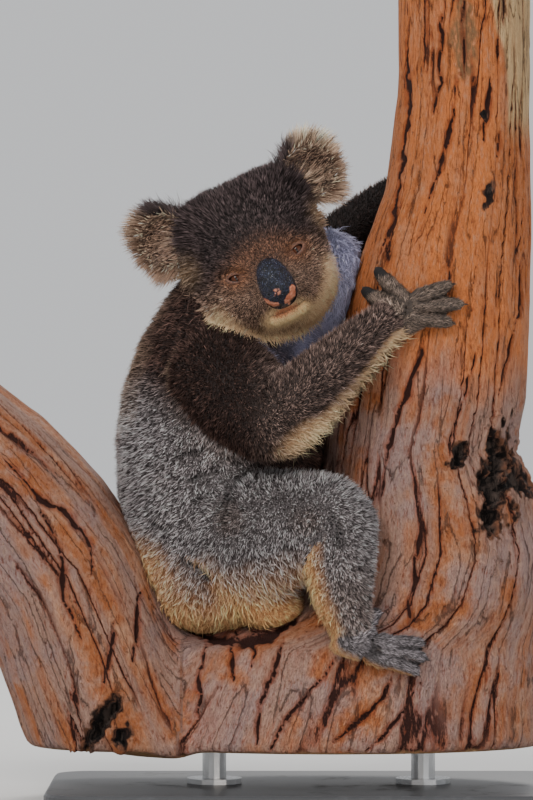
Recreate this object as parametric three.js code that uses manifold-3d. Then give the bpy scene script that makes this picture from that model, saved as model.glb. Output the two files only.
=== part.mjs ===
// A life-size still model of a koala that sits in the fork of a gum tree and hugs its trunk, on a
// plain display stand. Millimetres, +Z up, the animal faces +X and turns its head towards -Y. The
// origin is the middle of the stand's underside. "Right" and "left" are the animal's own: its right
// side is the -Y side. The outer surfaces are those of the coat, not of the skin under it.
import * as THREE from "three";
import { ParametricGeometry } from "three/addons/geometries/ParametricGeometry.js";
import { mergeVertices } from "three/addons/utils/BufferGeometryUtils.js";
import Module from "manifold-3d";

const wasm = await Module();
wasm.setup();

// ---------------------------------------------------------------- driving dimensions
const GAP = 0.3; // between parts that touch
const BARK_GAP = 0.8; // grown sideways, so that it is still a gap on the fork's shallow saddle
const RIGHT = -1; // side of the animal, as a sign on Y
const LEFT = 1;
const AXIS_X = new THREE.Vector3(1, 0, 0);
const AXIS_Y = new THREE.Vector3(0, 1, 0);
const AXIS_Z = new THREE.Vector3(0, 0, 1);

const STAND = { long: 600, deep: 340, thick: 16, corner: 40, bevel: 3 };
const ROD = { radius: 14, flange: 32, flangeThick: 6, spots: [-110, 130] };
const PERCH_FOOT = 60; // height of the perch's lower cut

// Trunk sections: height, middle x, half-width, half-depth. It flares into a saddle near z 190.
const TRUNK = [
  [60, 23, 247, 155],
  [112, 37, 230, 152],
  [158, 50, 222, 150],
  [176, 54, 217, 149],
  [190, 76, 196, 148],
  [206, 104, 168, 146],
  [228, 122, 153, 145],
  [284, 138, 145, 142],
  [345, 134, 131, 138],
  [399, 125, 110, 134],
  [457, 136, 113, 130],
  [537, 145, 109, 125],
  [629, 157, 97, 114],
  [698, 170, 84, 104],
  [800, 177, 77, 96],
  [930, 177, 77, 92],
];
// Side limb of the fork: x, y, z of its middle, half-depth, half-thickness.
const LIMB = [
  [-178, 0, 0, 128, 118],
  [-236, 0, 135, 118, 110],
  [-284, 0, 252, 110, 106],
  [-352, 0, 340, 104, 102],
  [-440, 0, 418, 100, 98],
];

// The body, as stations of x, y, z, half-width along Y, half-thickness across it.
const TORSO = [
  [-51, 0, 574, 76, 82],
  [-63, 0, 542, 92, 104],
  [-85, 0, 505, 100, 111],
  [-98, 0, 452, 105, 122],
  [-102, 0, 396, 109, 125],
  [-106, 0, 340, 111, 116],
  [-103, 0, 284, 110, 109],
  [-98, 0, 228, 98, 90],
];
const NECK = [
  [-92, 0, 540, 76, 76],
  [-78, -22, 572, 76, 76],
  [-60, -48, 606, 72, 70],
];
// The chest, which rises between the arms and leans against the trunk beside the head.
const CHEST = { at: [18, 2, 592], size: [50, 46, 68] };
// Limb stations for one side, mirrored by their sign of y: x, y, z, half-width, half-thickness.
const ARM_RIGHT = {
  upper: [
    [-112, -70, 492, 58, 64],
    [-80, -108, 462, 54, 62],
    [-44, -136, 430, 47, 52],
  ],
  fore: [
    [-50, -138, 428, 44, 47],
    [-18, -146, 452, 43, 44],
    [18, -146, 487, 38, 38],
    [62, -136, 528, 28, 30],
    [88, -130, 549, 22, 25],
  ],
};
const ARM_LEFT = {
  upper: [
    [-84, 70, 528, 56, 60],
    [-34, 102, 578, 50, 54],
    [22, 121, 628, 40, 42],
  ],
  fore: [
    [16, 120, 624, 38, 40],
    [60, 122, 662, 35, 36],
    [106, 118, 696, 28, 31],
    [138, 122, 714, 22, 25],
  ],
};
const LEG = {
  thigh: [
    [-122, 58, 284, 46, 76],
    [-78, 88, 300, 54, 80],
    [-24, 118, 314, 54, 70],
    [26, 142, 326, 48, 54],
  ],
  shin: [
    [29, 146, 322, 45, 49],
    [31, 156, 280, 39, 45],
    [35, 163, 236, 30, 37],
    [42, 166, 204, 22, 27],
  ],
};

// The head is made in its own frame: x towards its left side, z up, and it faces -y.
const HEAD_AT = new THREE.Vector3(-54, -62, 617);
const HEAD_ROLL = THREE.MathUtils.degToRad(-25.5);
const HEAD = { wide: 84, deep: 80, tall: 94, square: 2.25 };
// Swellings and hollows of the head: where each points, how far it rises, how wide it spreads.
const HEAD_FORMS = [
  { toward: [0, -1, -0.46], rise: 25, spread: 0.4 }, // muzzle
  { toward: [0, -0.86, -0.9], rise: -7, spread: 0.3 }, // under the chin
  { toward: [0.86, -0.4, -0.5], rise: 7, spread: 0.42 }, // cheeks
  { toward: [-0.86, -0.4, -0.5], rise: 7, spread: 0.42 },
  { toward: [0.95, -0.12, -0.32], rise: -11, spread: 0.55 }, // left cheek, pressed in by the shoulder
  { toward: [0.5, -1, -0.06], rise: -5, spread: 0.24 }, // eye hollows
  { toward: [-0.5, -1, -0.06], rise: -5, spread: 0.24 },
  { toward: [0, -0.75, 0.75], rise: -4, spread: 0.4 }, // slope of the forehead
  { toward: [0.68, 0.1, 1], rise: 15, spread: 0.36 }, // crown, out to the roots of the ears
  { toward: [-0.68, 0.1, 1], rise: 15, spread: 0.36 },
];
const EYE = { x: 37.5, z: -9.5, radius: 10.5, sunk: 9.5, slant: THREE.MathUtils.degToRad(20) };
// Lids: half the opening's width, how high and low they arch, their half-thickness, how far they cover.
const LID = { halfWide: 10, rise: 5.2, fall: 4.2, upper: 3.4, lower: 2.8, over: 1.6 };
const NOSE = [
  // z, half-width, half-thickness, how far its middle stands out of the muzzle
  [-4, 12, 7, -3],
  [-13, 17.5, 9, -2],
  [-29, 20.5, 11, -1],
  [-46, 21, 12, 0],
  [-58, 16, 9, 0],
];
const NOSTRIL = { x: 10, z: -52, reach: 7, radius: 2.6 };
// Mouth: height of its line below the head's middle, half its width, how far its corners turn up.
const MOUTH = { drop: -69.5, half: 21, turnUp: 2.5, lip: 4, line: 1.4 };

const EAR = { x: 92, y: 14, z: 67, wide: 34, thick: 13, tall: 34, yaw: 24, cupDepth: 8, wall: 5 };
// Rows of the ear's fringe: how many locks, first and last angle, length, half-width, lift to the back.
const EAR_FRINGE = [
  { locks: 12, from: -100, to: 140, length: 28, wide: 10, back: 0 },
  { locks: 8, from: -84, to: 128, length: 33, wide: 10, back: 5 },
];
const EAR_INNER = { locks: 4, length: 32, wide: 7 };
const LOCK_THICK = 3;
const RUFF = { locks: 7, from: -2, to: -76, length: 32, wide: 11, rootDepth: 9 };

// ---------------------------------------------------------------- small tools
// Rings of a rounded end, as degrees from its tip; a small end has fewer.
const CAP_RINGS = { large: [0, 30, 60], small: [0, 45], smallReach: 12 };

// Repeatable draw of numbers from 0 to 1, for the spread that real locks have.
function drawer(seed) {
  let state = seed;
  return () => {
    state = (state * 1664525 + 1013904223) % 4294967296;
    return state / 4294967296;
  };
}

// Reads a table of rows [key, a, b, ...] at a key, by a smooth cubic through its rows.
function read(table, key) {
  const last = table.length - 1;
  let i = 0;
  while (i < last - 1 && key > table[i + 1][0]) i += 1;
  const slope = (row, column) => {
    const before = table[Math.max(row - 1, 0)];
    const after = table[Math.min(row + 1, last)];
    return (after[column] - before[column]) / (after[0] - before[0]);
  };
  const [from, to] = [table[i], table[i + 1]];
  const span = to[0] - from[0];
  const t = Math.min(Math.max((key - from[0]) / span, 0), 1);
  return from.slice(1).map((value, k) => {
    const [m0, m1] = [slope(i, k + 1) * span, slope(i + 1, k + 1) * span];
    const d = to[k + 1] - value;
    return value + t * (m0 + t * (3 * d - 2 * m0 - m1 + t * (m0 + m1 - 2 * d)));
  });
}

// A geometry as a solid: vertices merged, empty triangles dropped, faces turned outwards.
function toSolid(geometry) {
  const bare = new THREE.BufferGeometry();
  bare.setAttribute("position", geometry.getAttribute("position"));
  bare.setIndex(geometry.index);
  const merged = mergeVertices(bare, 1e-3);
  const corners = merged.index.array;
  const triangles = [];
  for (let i = 0; i < corners.length; i += 3) {
    const [a, b, c] = [corners[i], corners[i + 1], corners[i + 2]];
    if (a !== b && b !== c && c !== a) triangles.push([a, b, c]);
  }
  const build = (list) =>
    new wasm.Manifold(
      new wasm.Mesh({
        numProp: 3,
        vertProperties: new Float32Array(merged.attributes.position.array),
        triVerts: new Uint32Array(list.flat()),
      }),
    );
  const made = build(triangles);
  return made.volume() > 0 ? made : build(triangles.map(([a, b, c]) => [a, c, b]));
}

// A solid from a surface of (u, v): u runs once round it and v from one pole to the other.
const surfaceSolid = (surface, around, along) =>
  toSolid(new ParametricGeometry(surface, around, along));

const ball = (radius, around = 16) => toSolid(new THREE.SphereGeometry(radius, around, around * 0.75));

// Rings of a limb: a share of its path, how far beyond the path's end, and a share of the section.
// A cap of 0 is a flat end, and a pointed limb closes on its last station.
function ringsOf(steps, start, end, pointed) {
  const cap = (reach, sign) => {
    const rounded = reach > CAP_RINGS.smallReach ? CAP_RINGS.large : CAP_RINGS.small;
    return (reach > 0 ? rounded : [0]).map((degrees) => {
      const angle = THREE.MathUtils.degToRad(degrees);
      return { beyond: sign * reach * Math.cos(angle), share: Math.sin(angle) };
    });
  };
  const middle = Array.from({ length: steps + 1 }, (_, i) => ({ at: i / steps, beyond: 0, share: 1 }));
  const first = cap(start, -1).map((ring) => ({ at: 0, ...ring }));
  if (pointed) return [...first, ...middle.slice(0, -1), { at: 1, beyond: 0, share: 0 }];
  const last = cap(end, 1).map((ring) => ({ at: 1, ...ring }));
  return [...first, ...middle, ...last.reverse()];
}

// A limb: oval sections carried along a smooth path through its stations.
// Each station is x, y, z, half-width towards `side`, half-thickness across it.
function limb(stations, options = {}) {
  const { around = 16, steps = 8, start = 0, end = 0, grow = 0, pointed = false } = options;
  const { side = AXIS_Y, square = 2 } = options;
  const path = new THREE.CatmullRomCurve3(stations.map(([x, y, z]) => new THREE.Vector3(x, y, z)));
  const sizes = new THREE.CatmullRomCurve3(
    stations.map(([, , , w, t]) => new THREE.Vector3(w, t, 0)),
    false,
    "catmullrom",
  );
  const rings = ringsOf(steps, start && start + grow, end && end + grow, pointed);
  const surface = (u, v, target) => {
    const { at, beyond, share } = rings[Math.round(v * (rings.length - 1))];
    const t = path.getUtoTmapping(at);
    const size = sizes.getPoint(t);
    const forward = path.getTangent(t);
    const across = side.clone().addScaledVector(forward, -side.dot(forward)).normalize();
    const through = new THREE.Vector3().crossVectors(forward, across);
    const [c, n] = [Math.cos(2 * Math.PI * u), Math.sin(2 * Math.PI * u)];
    const oval = (Math.abs(c) ** square + Math.abs(n) ** square) ** (-1 / square);
    target
      .copy(path.getPoint(t))
      .addScaledVector(forward, beyond)
      .addScaledVector(across, share * oval * c * (size.x + grow))
      .addScaledVector(through, share * oval * n * (size.y + grow));
  };
  return surfaceSolid(surface, around, rings.length - 1);
}

const joined = (solids) => solids.reduce((whole, piece) => whole.add(piece));
const largest = (solid) =>
  solid.decompose().reduce((best, piece) => (piece.volume() > best.volume() ? piece : best));
const cutBy = (solid, ...others) => others.reduce((left, other) => left.subtract(other), solid);

// ---------------------------------------------------------------- perch and stand
function trunkSection(z) {
  const [x, wide, deep] = read(TRUNK, z);
  return { x, wide, deep };
}

// A point on the trunk's face, on one side of it, lifted off the bark.
function onBark(x, z, side, lift) {
  const { x: middle, wide, deep } = trunkSection(z);
  const share = Math.min(Math.abs((x - middle) / wide), 0.985);
  return [x, side * (deep * Math.sqrt(1 - share * share) + lift), z];
}

function trunkSolid(grow = 0) {
  const cuts = TRUNK.map(([z]) => z);
  const levels = [cuts[0], ...cuts, cuts[cuts.length - 1]];
  const last = levels.length - 1;
  const surface = (u, v, target) => {
    const ring = Math.round(v * last);
    const z = levels[ring];
    const { x, wide, deep } = trunkSection(z);
    const k = ring === 0 || ring === last ? 0 : 1;
    const angle = 2 * Math.PI * u;
    target.set(x + k * (wide + grow) * Math.cos(angle), k * (deep + grow) * Math.sin(angle), z);
  };
  return surfaceSolid(surface, 24, last);
}

function limbSolid(grow = 0) {
  const whole = limb(LIMB, { around: 22, steps: 6, grow });
  const [foot] = LIMB;
  const below = new THREE.BoxGeometry(4 * foot[3], 4 * foot[3], 2 * PERCH_FOOT);
  return cutBy(whole, toSolid(below.translate(foot[0], 0, 0)));
}

function standBase() {
  const [w, d, r] = [STAND.long / 2 - STAND.bevel, STAND.deep / 2 - STAND.bevel, STAND.corner];
  const outline = new THREE.Shape();
  outline.moveTo(-w + r, -d);
  outline.lineTo(w - r, -d);
  outline.absarc(w - r, -d + r, r, -Math.PI / 2, 0);
  outline.lineTo(w, d - r);
  outline.absarc(w - r, d - r, r, 0, Math.PI / 2);
  outline.lineTo(-w + r, d);
  outline.absarc(-w + r, d - r, r, Math.PI / 2, Math.PI);
  outline.lineTo(-w, -d + r);
  outline.absarc(-w + r, -d + r, r, Math.PI, 1.5 * Math.PI);
  return new THREE.ExtrudeGeometry(outline, {
    depth: STAND.thick - 2 * STAND.bevel,
    bevelThickness: STAND.bevel,
    bevelSize: STAND.bevel,
    bevelSegments: 1,
    curveSegments: 4,
  }).translate(0, 0, STAND.bevel);
}

function standRod() {
  const height = PERCH_FOOT - STAND.thick - 2 * GAP;
  const profile = [
    [0, 0],
    [ROD.flange, 0],
    [ROD.flange, ROD.flangeThick],
    [ROD.radius, ROD.flangeThick],
    [ROD.radius, height - ROD.flangeThick],
    [ROD.flange, height - ROD.flangeThick],
    [ROD.flange, height],
    [0, height],
  ].map(([r, z]) => new THREE.Vector2(r, z));
  return new THREE.LatheGeometry(profile, 14).rotateX(Math.PI / 2);
}

// ---------------------------------------------------------------- head
const unit = (x, y, z) => new THREE.Vector3(x, y, z).normalize();
const FORMS = HEAD_FORMS.map((form) => ({ ...form, toward: unit(...form.toward) }));

// How far the head's coat lies from its middle in a direction.
function headReach(direction) {
  const p = HEAD.square;
  const { x, y, z } = direction;
  const shares = [x / HEAD.wide, y / HEAD.deep, z / HEAD.tall];
  const base = shares.reduce((sum, share) => sum + Math.abs(share) ** p, 0) ** (-1 / p);
  return FORMS.reduce((reach, { toward, rise, spread }) => {
    const apart = 2 * (1 - direction.dot(toward));
    return reach + rise * Math.exp(-apart / (spread * spread));
  }, base);
}

function headSolid(grow = 0) {
  const surface = (u, v, target) => {
    const fromFront = Math.PI * v;
    const turn = 2 * Math.PI * u;
    const direction = new THREE.Vector3(
      Math.sin(fromFront) * Math.cos(turn),
      -Math.cos(fromFront),
      Math.sin(fromFront) * Math.sin(turn),
    );
    target.copy(direction).multiplyScalar(headReach(direction) + grow);
  };
  return surfaceSolid(surface, 28, 18);
}

// The y of the face at an x and z of the head's frame.
function faceAt(x, z) {
  let y = -HEAD.deep;
  for (let round = 0; round < 20; round += 1) {
    const reach = headReach(unit(x, y, z));
    y = -Math.sqrt(Math.max(reach * reach - x * x - z * z, 1));
  }
  return y;
}

function noseSolid(grow = 0) {
  const stations = NOSE.map(([z, wide, thick, out]) => [0, faceAt(0, z) - out, z, wide, thick]);
  return limb(stations, { around: 12, steps: 4, start: 4, end: 5, grow, side: AXIS_X });
}

// A nostril is a comma that starts low on the nose's front and curls out to its side.
function nostrilSolid(sign) {
  const front = faceAt(0, NOSTRIL.z) - 12;
  const { x, z, reach, radius } = NOSTRIL;
  const stations = [
    [sign * (x - 2), front + 2, z, radius, radius],
    [sign * (x + reach * 0.5), front + 3.5, z + 1, radius * 0.85, radius],
    [sign * (x + reach), front + 7, z + 5, radius * 0.5, radius * 0.8],
  ];
  return limb(stations, { around: 6, steps: 2, start: 2, end: 1 });
}

function mouthPath(radius, out) {
  const { drop, half, turnUp } = MOUTH;
  return [-1, -0.55, 0, 0.55, 1].map((share) => {
    const [x, z] = [half * share, drop + turnUp * share * share];
    return [x, faceAt(x, z) - out, z, radius, radius];
  });
}

// Moves a solid made round an eye's middle to that eye, turned by its slant.
function atEye(solid, sign) {
  const y = faceAt(sign * EYE.x, EYE.z) + EYE.sunk;
  const place = new THREE.Matrix4().makeRotationY(-sign * EYE.slant);
  place.setPosition(sign * EYE.x, y, EYE.z);
  return solid.transform(place.elements);
}

function lidSolid(height, thick) {
  const reach = EYE.radius + LID.over;
  const stations = [-1.05, -0.5, 0, 0.5, 1.05].map((share) => {
    const [x, z] = [LID.halfWide * share, height * (1 - share * share)];
    return [x, -Math.sqrt(reach * reach - x * x - z * z), z, thick, thick];
  });
  return limb(stations, { around: 6, steps: 4, start: 2, end: 2, side: AXIS_Z });
}

// A flat tapered lock that bends from its root to its tip. `flat` is the way its width runs.
function lock(root, out, bend, length, wide, flat) {
  const middle = root.clone().addScaledVector(out, length * 0.5);
  const tip = root.clone().addScaledVector(out, length * 0.92).addScaledVector(bend, length * 0.36);
  const stations = [
    [...root.toArray(), wide * 0.8, LOCK_THICK],
    [...middle.toArray(), wide, LOCK_THICK * 0.8],
    [...tip.toArray(), 0.5, 0.4],
  ];
  return limb(stations, { around: 4, steps: 3, side: flat, pointed: true });
}

// The cheek ruff: locks from under the ear to the chin that stand out and down over the neck.
function ruffLocks(sign) {
  const draw = drawer(sign > 0 ? 71 : 17);
  return Array.from({ length: RUFF.locks }, (_, i) => {
    const turn = THREE.MathUtils.degToRad(RUFF.from + ((RUFF.to - RUFF.from) * i) / (RUFF.locks - 1));
    const toward = unit(sign * Math.cos(turn), -0.4 - 0.25 * draw(), Math.sin(turn));
    const root = toward.clone().multiplyScalar(headReach(toward) - RUFF.rootDepth);
    const out = unit(toward.x, 0.1, toward.z - 0.45);
    const flat = unit(-out.z, 0.3, out.x);
    const length = RUFF.length * (0.8 + 0.4 * draw());
    return lock(root, out, new THREE.Vector3(-0.3 * sign, 0, -0.7), length, RUFF.wide, flat);
  });
}

// ---------------------------------------------------------------- ears
// Everything of an ear is made round its own middle, facing -y, then turned and moved.
function earPlace(sign) {
  const place = new THREE.Matrix4().makeRotationZ(THREE.MathUtils.degToRad(sign * EAR.yaw));
  return place.setPosition(sign * EAR.x, EAR.y, EAR.z);
}

function earBowl() {
  const { wide, thick, tall, wall, cupDepth } = EAR;
  const outer = new THREE.SphereGeometry(1, 16, 9).scale(wide, thick, tall);
  const hollow = new THREE.SphereGeometry(1, 12, 7).scale(wide - wall, thick, tall - wall);
  return toSolid(outer).subtract(toSolid(hollow.translate(0, -cupDepth, 0)));
}

// One row of the fringe, from the rim's lower outside over the top to its inner side.
function fringeRow({ locks, from, to, length, wide, back }, sign, draw) {
  return Array.from({ length: locks }, (_, i) => {
    const turn = THREE.MathUtils.degToRad(from + ((to - from) * (i + 0.4 * draw())) / (locks - 1));
    const out = unit(sign * Math.cos(turn), -0.12 + 0.04 * back, Math.sin(turn));
    const root = new THREE.Vector3(out.x * (EAR.wide - 8), back, out.z * (EAR.tall - 8));
    const flat = unit(-out.z, 0.5 - draw(), out.x);
    const bend = new THREE.Vector3(sign * (0.3 + 0.5 * draw()), 0.3 - 0.5 * draw(), 0);
    bend.z = -0.2 - 0.6 * draw();
    return lock(root, out, bend, length * (0.76 + 0.4 * draw()), wide, flat);
  });
}

// Long locks that cross the cup from its inner wall to its outer rim.
function innerLocks(sign, draw) {
  return Array.from({ length: EAR_INNER.locks }, (_, i) => {
    const share = i / (EAR_INNER.locks - 1) - 0.5;
    const root = new THREE.Vector3(-sign * EAR.wide * 0.56, -1, share * EAR.tall * 0.9);
    const out = unit(sign * 0.9, -0.3, share * 0.8);
    const bend = new THREE.Vector3(0, 0.1, 0.5 * share);
    return lock(root, out, bend, EAR_INNER.length * (0.85 + 0.3 * draw()), EAR_INNER.wide, AXIS_Z);
  });
}

function earSolid(sign) {
  const draw = drawer(sign > 0 ? 5 : 11);
  const fringe = EAR_FRINGE.flatMap((row) => fringeRow(row, sign, draw));
  return joined([earBowl(), ...fringe, ...innerLocks(sign, draw)]).transform(earPlace(sign).elements);
}

// ---------------------------------------------------------------- paws
// Digits lie on the bark: each is a row of x, z, lift, radius, then its claw's x, z.
const HAND_RIGHT = {
  side: RIGHT,
  shift: 0,
  palm: [
    [84, 546, 24, 24, 24],
    [100, 553, 15, 16, 27],
    [120, 560, 12, 12, 24],
  ],
  digits: [
    { spots: [[100, 558, 13, 11], [76, 568, 11, 10], [62, 580, 9, 8]], claw: [56, 592] },
    { spots: [[106, 568, 13, 11], [86, 588, 11, 10], [76, 602, 9, 8]], claw: [72, 616] },
    { spots: [[112, 568, 13, 11], [136, 578, 11, 10], [152, 585, 9, 7.5]], claw: [168, 588] },
    { spots: [[114, 560, 13, 11], [142, 562, 11, 10.5], [164, 564, 9, 8]], claw: [182, 564] },
    { spots: [[112, 550, 13, 10], [136, 546, 11, 9.5], [152, 543, 9, 7.5]], claw: [167, 541] },
  ],
};
const HAND_LEFT = {
  side: LEFT,
  shift: 0,
  palm: [
    [136, 714, 24, 22, 24],
    [158, 725, 15, 16, 27],
    [178, 732, 12, 12, 24],
  ],
  digits: [
    { spots: [[154, 734, 13, 11], [140, 748, 11, 10], [130, 758, 9, 8]], claw: [122, 768] },
    { spots: [[164, 738, 13, 11], [156, 756, 11, 10], [152, 770, 9, 8]], claw: [148, 782] },
    { spots: [[172, 738, 13, 11], [193, 748, 11, 10], [208, 754, 9, 7.5]], claw: [222, 757] },
    { spots: [[174, 730, 13, 11], [200, 732, 11, 10.5], [219, 734, 9, 8]], claw: [233, 733] },
    { spots: [[170, 722, 13, 10], [191, 716, 11, 9.5], [207, 712, 9, 7.5]], claw: [220, 708] },
  ],
};
// The foot's opposing first toe has no claw, and the next two toes are grown together.
const FOOT = {
  palm: [
    [30, 190, 17, 17, 17],
    [54, 186, 16, 16, 21],
    [84, 176, 12, 12, 21],
  ],
  digits: [
    { spots: [[52, 190, 12, 11], [64, 208, 10, 9.5], [72, 220, 8, 8]], claw: null },
    { spots: [[78, 186, 13, 9], [102, 188, 10, 8], [120, 187, 8, 6.5]], claw: [133, 185] },
    { spots: [[80, 178, 14, 12], [106, 174, 12, 11], [122, 170, 10, 9]], claw: [138, 163] },
    { spots: [[78, 170, 13, 11], [100, 162, 11, 10], [114, 155, 9, 8]], claw: [126, 144] },
  ],
};
const FOOT_RIGHT = { side: RIGHT, shift: 0, ...FOOT };
const FOOT_LEFT = { side: LEFT, shift: 6, ...FOOT };
const mirrored = (stations) => stations.map(([x, y, ...rest]) => [x, -y, ...rest]);
const LEG_RIGHT = { thigh: mirrored(LEG.thigh), shin: mirrored(LEG.shin) };
const CLAW = { base: 3.4, tip: 0.5, lift: 1.2 };

// A paw lies on one side of the trunk: a heel, its digits and their claws, moved along x by `shift`.
function pawSolid({ side, shift, palm, digits }) {
  const spot = (x, z, lift) => onBark(x + shift, z, side, lift);
  const row = ([x, z, lift, wide, thick = wide]) => [...spot(x, z, lift), wide, thick];
  const claw = ([tipX, tipZ], [x, z, lift]) => [
    [...spot(x, z, lift + 1), CLAW.base, CLAW.base],
    [...spot((x + tipX) / 2, (z + tipZ) / 2, lift + 2), CLAW.base * 0.72, CLAW.base * 0.8],
    [...spot(tipX, tipZ, CLAW.lift), CLAW.tip, CLAW.tip],
  ];
  const heel = limb(palm.map(row), { around: 10, steps: 2, start: 10, end: 8 });
  const toes = digits.map(({ spots }) => limb(spots.map(row), { around: 6, steps: 2, end: 6 }));
  const claws = digits
    .filter((digit) => digit.claw)
    .map(({ spots, claw: tip }) => limb(claw(tip, spots[2]), { around: 4, steps: 2, pointed: true }));
  return joined([heel, ...toes, ...claws]);
}

// ---------------------------------------------------------------- assembly
const LOOKS = {
  coat: { color: 0x6f675f, roughness: 0.95, metalness: 0 },
  paleCoat: { color: 0x9b8f80, roughness: 0.95, metalness: 0 },
  nose: { color: 0x1d1f26, roughness: 0.45, metalness: 0 },
  eye: { color: 0x2a160c, roughness: 0.08, metalness: 0 },
  bark: { color: 0xb0744f, roughness: 0.85, metalness: 0 },
  base: { color: 0x2b2b2d, roughness: 0.5, metalness: 0 },
  steel: { color: 0xb4b6b8, roughness: 0.3, metalness: 1 },
};
const MATERIALS = Object.fromEntries(
  Object.entries(LOOKS).map(([name, look]) => [name, new THREE.MeshStandardMaterial({ name, ...look })]),
);

function toGeometry(solid) {
  const { numProp, vertProperties, triVerts } = solid.getMesh();
  const count = vertProperties.length / numProp;
  const spots = new Float32Array(count * 3);
  for (let i = 0; i < count; i += 1) {
    const from = i * numProp;
    spots.set(vertProperties.subarray(from, from + 3), i * 3);
  }
  const geometry = new THREE.BufferGeometry();
  geometry.setAttribute("position", new THREE.BufferAttribute(spots, 3));
  geometry.setIndex(new THREE.BufferAttribute(triVerts, 1));
  geometry.computeVertexNormals();
  return geometry;
}

function node(name, shape, look) {
  const geometry = shape.isBufferGeometry ? shape : toGeometry(largest(shape));
  const mesh = new THREE.Mesh(geometry, MATERIALS[look]);
  mesh.name = name;
  return mesh;
}

const part = new THREE.Group();
const headGroup = new THREE.Group();
headGroup.position.copy(HEAD_AT);
headGroup.rotation.y = HEAD_ROLL;
headGroup.updateMatrix();
part.add(headGroup);

// Stand and perch.
const trunk = trunkSolid();
const trunkRoom = trunkSolid(BARK_GAP);
const sideLimb = cutBy(limbSolid(), trunkSolid(GAP));
const limbRoom = limbSolid(GAP);
part.add(node("stand_base", standBase(), "base"));
ROD.spots.forEach((x, i) => {
  const rod = node(`stand_rod_${i + 1}`, standRod(), "steel");
  rod.position.set(x, 0, STAND.thick + GAP);
  part.add(rod);
});
part.add(node("perch_trunk", trunk, "bark"));
part.add(node("perch_limb", sideLimb, "bark"));
const offBark = (solid) => cutBy(solid, trunkRoom, limbRoom);

// Whole forms of the body, before they are cut: `grow` adds the room that a neighbour keeps clear.
const formOf = (around, steps, start, end, square = 2) => (stations, grow = 0) =>
  limb(stations, { around, steps, start, end, grow, square });
const backForm = formOf(20, 8, 30, 40, 2.15);
const chestForm = (grow) => {
  const form = new THREE.SphereGeometry(1, 14, 10);
  return toSolid(form.scale(...CHEST.size.map((size) => size + grow)).translate(...CHEST.at));
};
const torsoForm = (stations, grow = 0) => backForm(stations, grow).add(chestForm(grow));
const neckForm = formOf(14, 3, 12, 12);
const upperForm = formOf(16, 4, 40, 38);
const foreForm = formOf(14, 4, 40, 6);
const thighForm = formOf(18, 4, 40, 42);
const shinForm = formOf(14, 4, 40, 10);
const limbsBySide = [
  { side: "right", arm: ARM_RIGHT, hand: HAND_RIGHT, leg: LEG_RIGHT, foot: FOOT_RIGHT },
  { side: "left", arm: ARM_LEFT, hand: HAND_LEFT, leg: LEG, foot: FOOT_LEFT },
];
const armRooms = limbsBySide.flatMap(({ arm }) => [upperForm(arm.upper, GAP), foreForm(arm.fore, GAP)]);
const [torsoRoom, neckRoom] = [torsoForm(TORSO, GAP), neckForm(NECK, GAP)];

// Head, with the eyes, nose and ears set into it.
const toBody = (solid) => solid.transform(headGroup.matrix.elements);
const toHead = (solid) => solid.transform(headGroup.matrix.clone().invert().elements);
const sides = [
  ["right", RIGHT],
  ["left", LEFT],
];
const bodyRooms = [torsoRoom, neckRoom, ...armRooms, trunkRoom].map(toHead);
const lids = sides.flatMap(([, sign]) => [
  atEye(lidSolid(LID.rise, LID.upper), sign),
  atEye(lidSolid(-LID.fall, LID.lower), sign),
]);
const sockets = sides.map(([, sign]) => atEye(ball(EYE.radius + 1, 12), sign));
const eyeRooms = sides.map(([, sign]) => atEye(ball(EYE.radius + GAP, 12), sign));
const lips = limb(mouthPath(MOUTH.lip, -1.5), { around: 6, steps: 6, start: 3, end: 3 });
const mouthLine = limb(mouthPath(MOUTH.line, 3), { around: 5, steps: 6, start: 1, end: 1 });
const ruff = cutBy(joined(sides.flatMap(([, sign]) => ruffLocks(sign))), ...bodyRooms);
const face = cutBy(headSolid(), ...sockets);
const head = cutBy(joined([face, ruff, ...lids, lips]), ...eyeRooms, noseSolid(GAP), mouthLine);
const headRoom = toBody(headSolid(GAP));
headGroup.add(node("head", head, "coat"));
headGroup.add(node("nose", cutBy(noseSolid(), nostrilSolid(1), nostrilSolid(-1)), "nose"));
sides.forEach(([side, sign]) => {
  headGroup.add(node(`eye_${side}`, atEye(ball(EYE.radius, 12), sign), "eye"));
  headGroup.add(node(`ear_${side}`, cutBy(earSolid(sign), headSolid(GAP), ...bodyRooms), "paleCoat"));
});

// Body and limbs, each cut by the bark that it leans on and by what it grows from.
part.add(node("torso", cutBy(offBark(torsoForm(TORSO)), headRoom), "coat"));
part.add(node("neck", cutBy(neckForm(NECK), torsoRoom, headRoom), "coat"));
limbsBySide.forEach(({ side, arm, hand, leg, foot }) => {
  const upper = cutBy(offBark(upperForm(arm.upper)), torsoRoom, neckRoom, headRoom);
  const fore = cutBy(offBark(foreForm(arm.fore)), upperForm(arm.upper, GAP), torsoRoom, headRoom);
  const thigh = cutBy(offBark(thighForm(leg.thigh)), torsoRoom, ...armRooms);
  const shin = cutBy(offBark(shinForm(leg.shin)), thighForm(leg.thigh, GAP), torsoRoom);
  part.add(node(`arm_upper_${side}`, upper, "coat"));
  part.add(node(`forearm_${side}`, fore, "coat"));
  part.add(node(`hand_${side}`, cutBy(offBark(pawSolid(hand)), foreForm(arm.fore, GAP)), "coat"));
  part.add(node(`thigh_${side}`, thigh, "coat"));
  part.add(node(`shin_${side}`, shin, "coat"));
  part.add(node(`foot_${side}`, cutBy(offBark(pawSolid(foot)), shinForm(leg.shin, GAP)), "coat"));
});

export default part;
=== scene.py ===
# %% [markdown]
# # A koala in the fork of a gum tree
#
# This lesson dresses a solid model of a koala. The solids give the true outer shape; here they get
# wood with bark, one skin, over three hundred thousand tufts of fur, a leathery nose, eyes with
# lids, and claws. Shapes are worked out in millimetres and handed over in Blender's metres.
# The animal faces +X and turns its head towards -Y; its right side is the -Y side.

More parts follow.
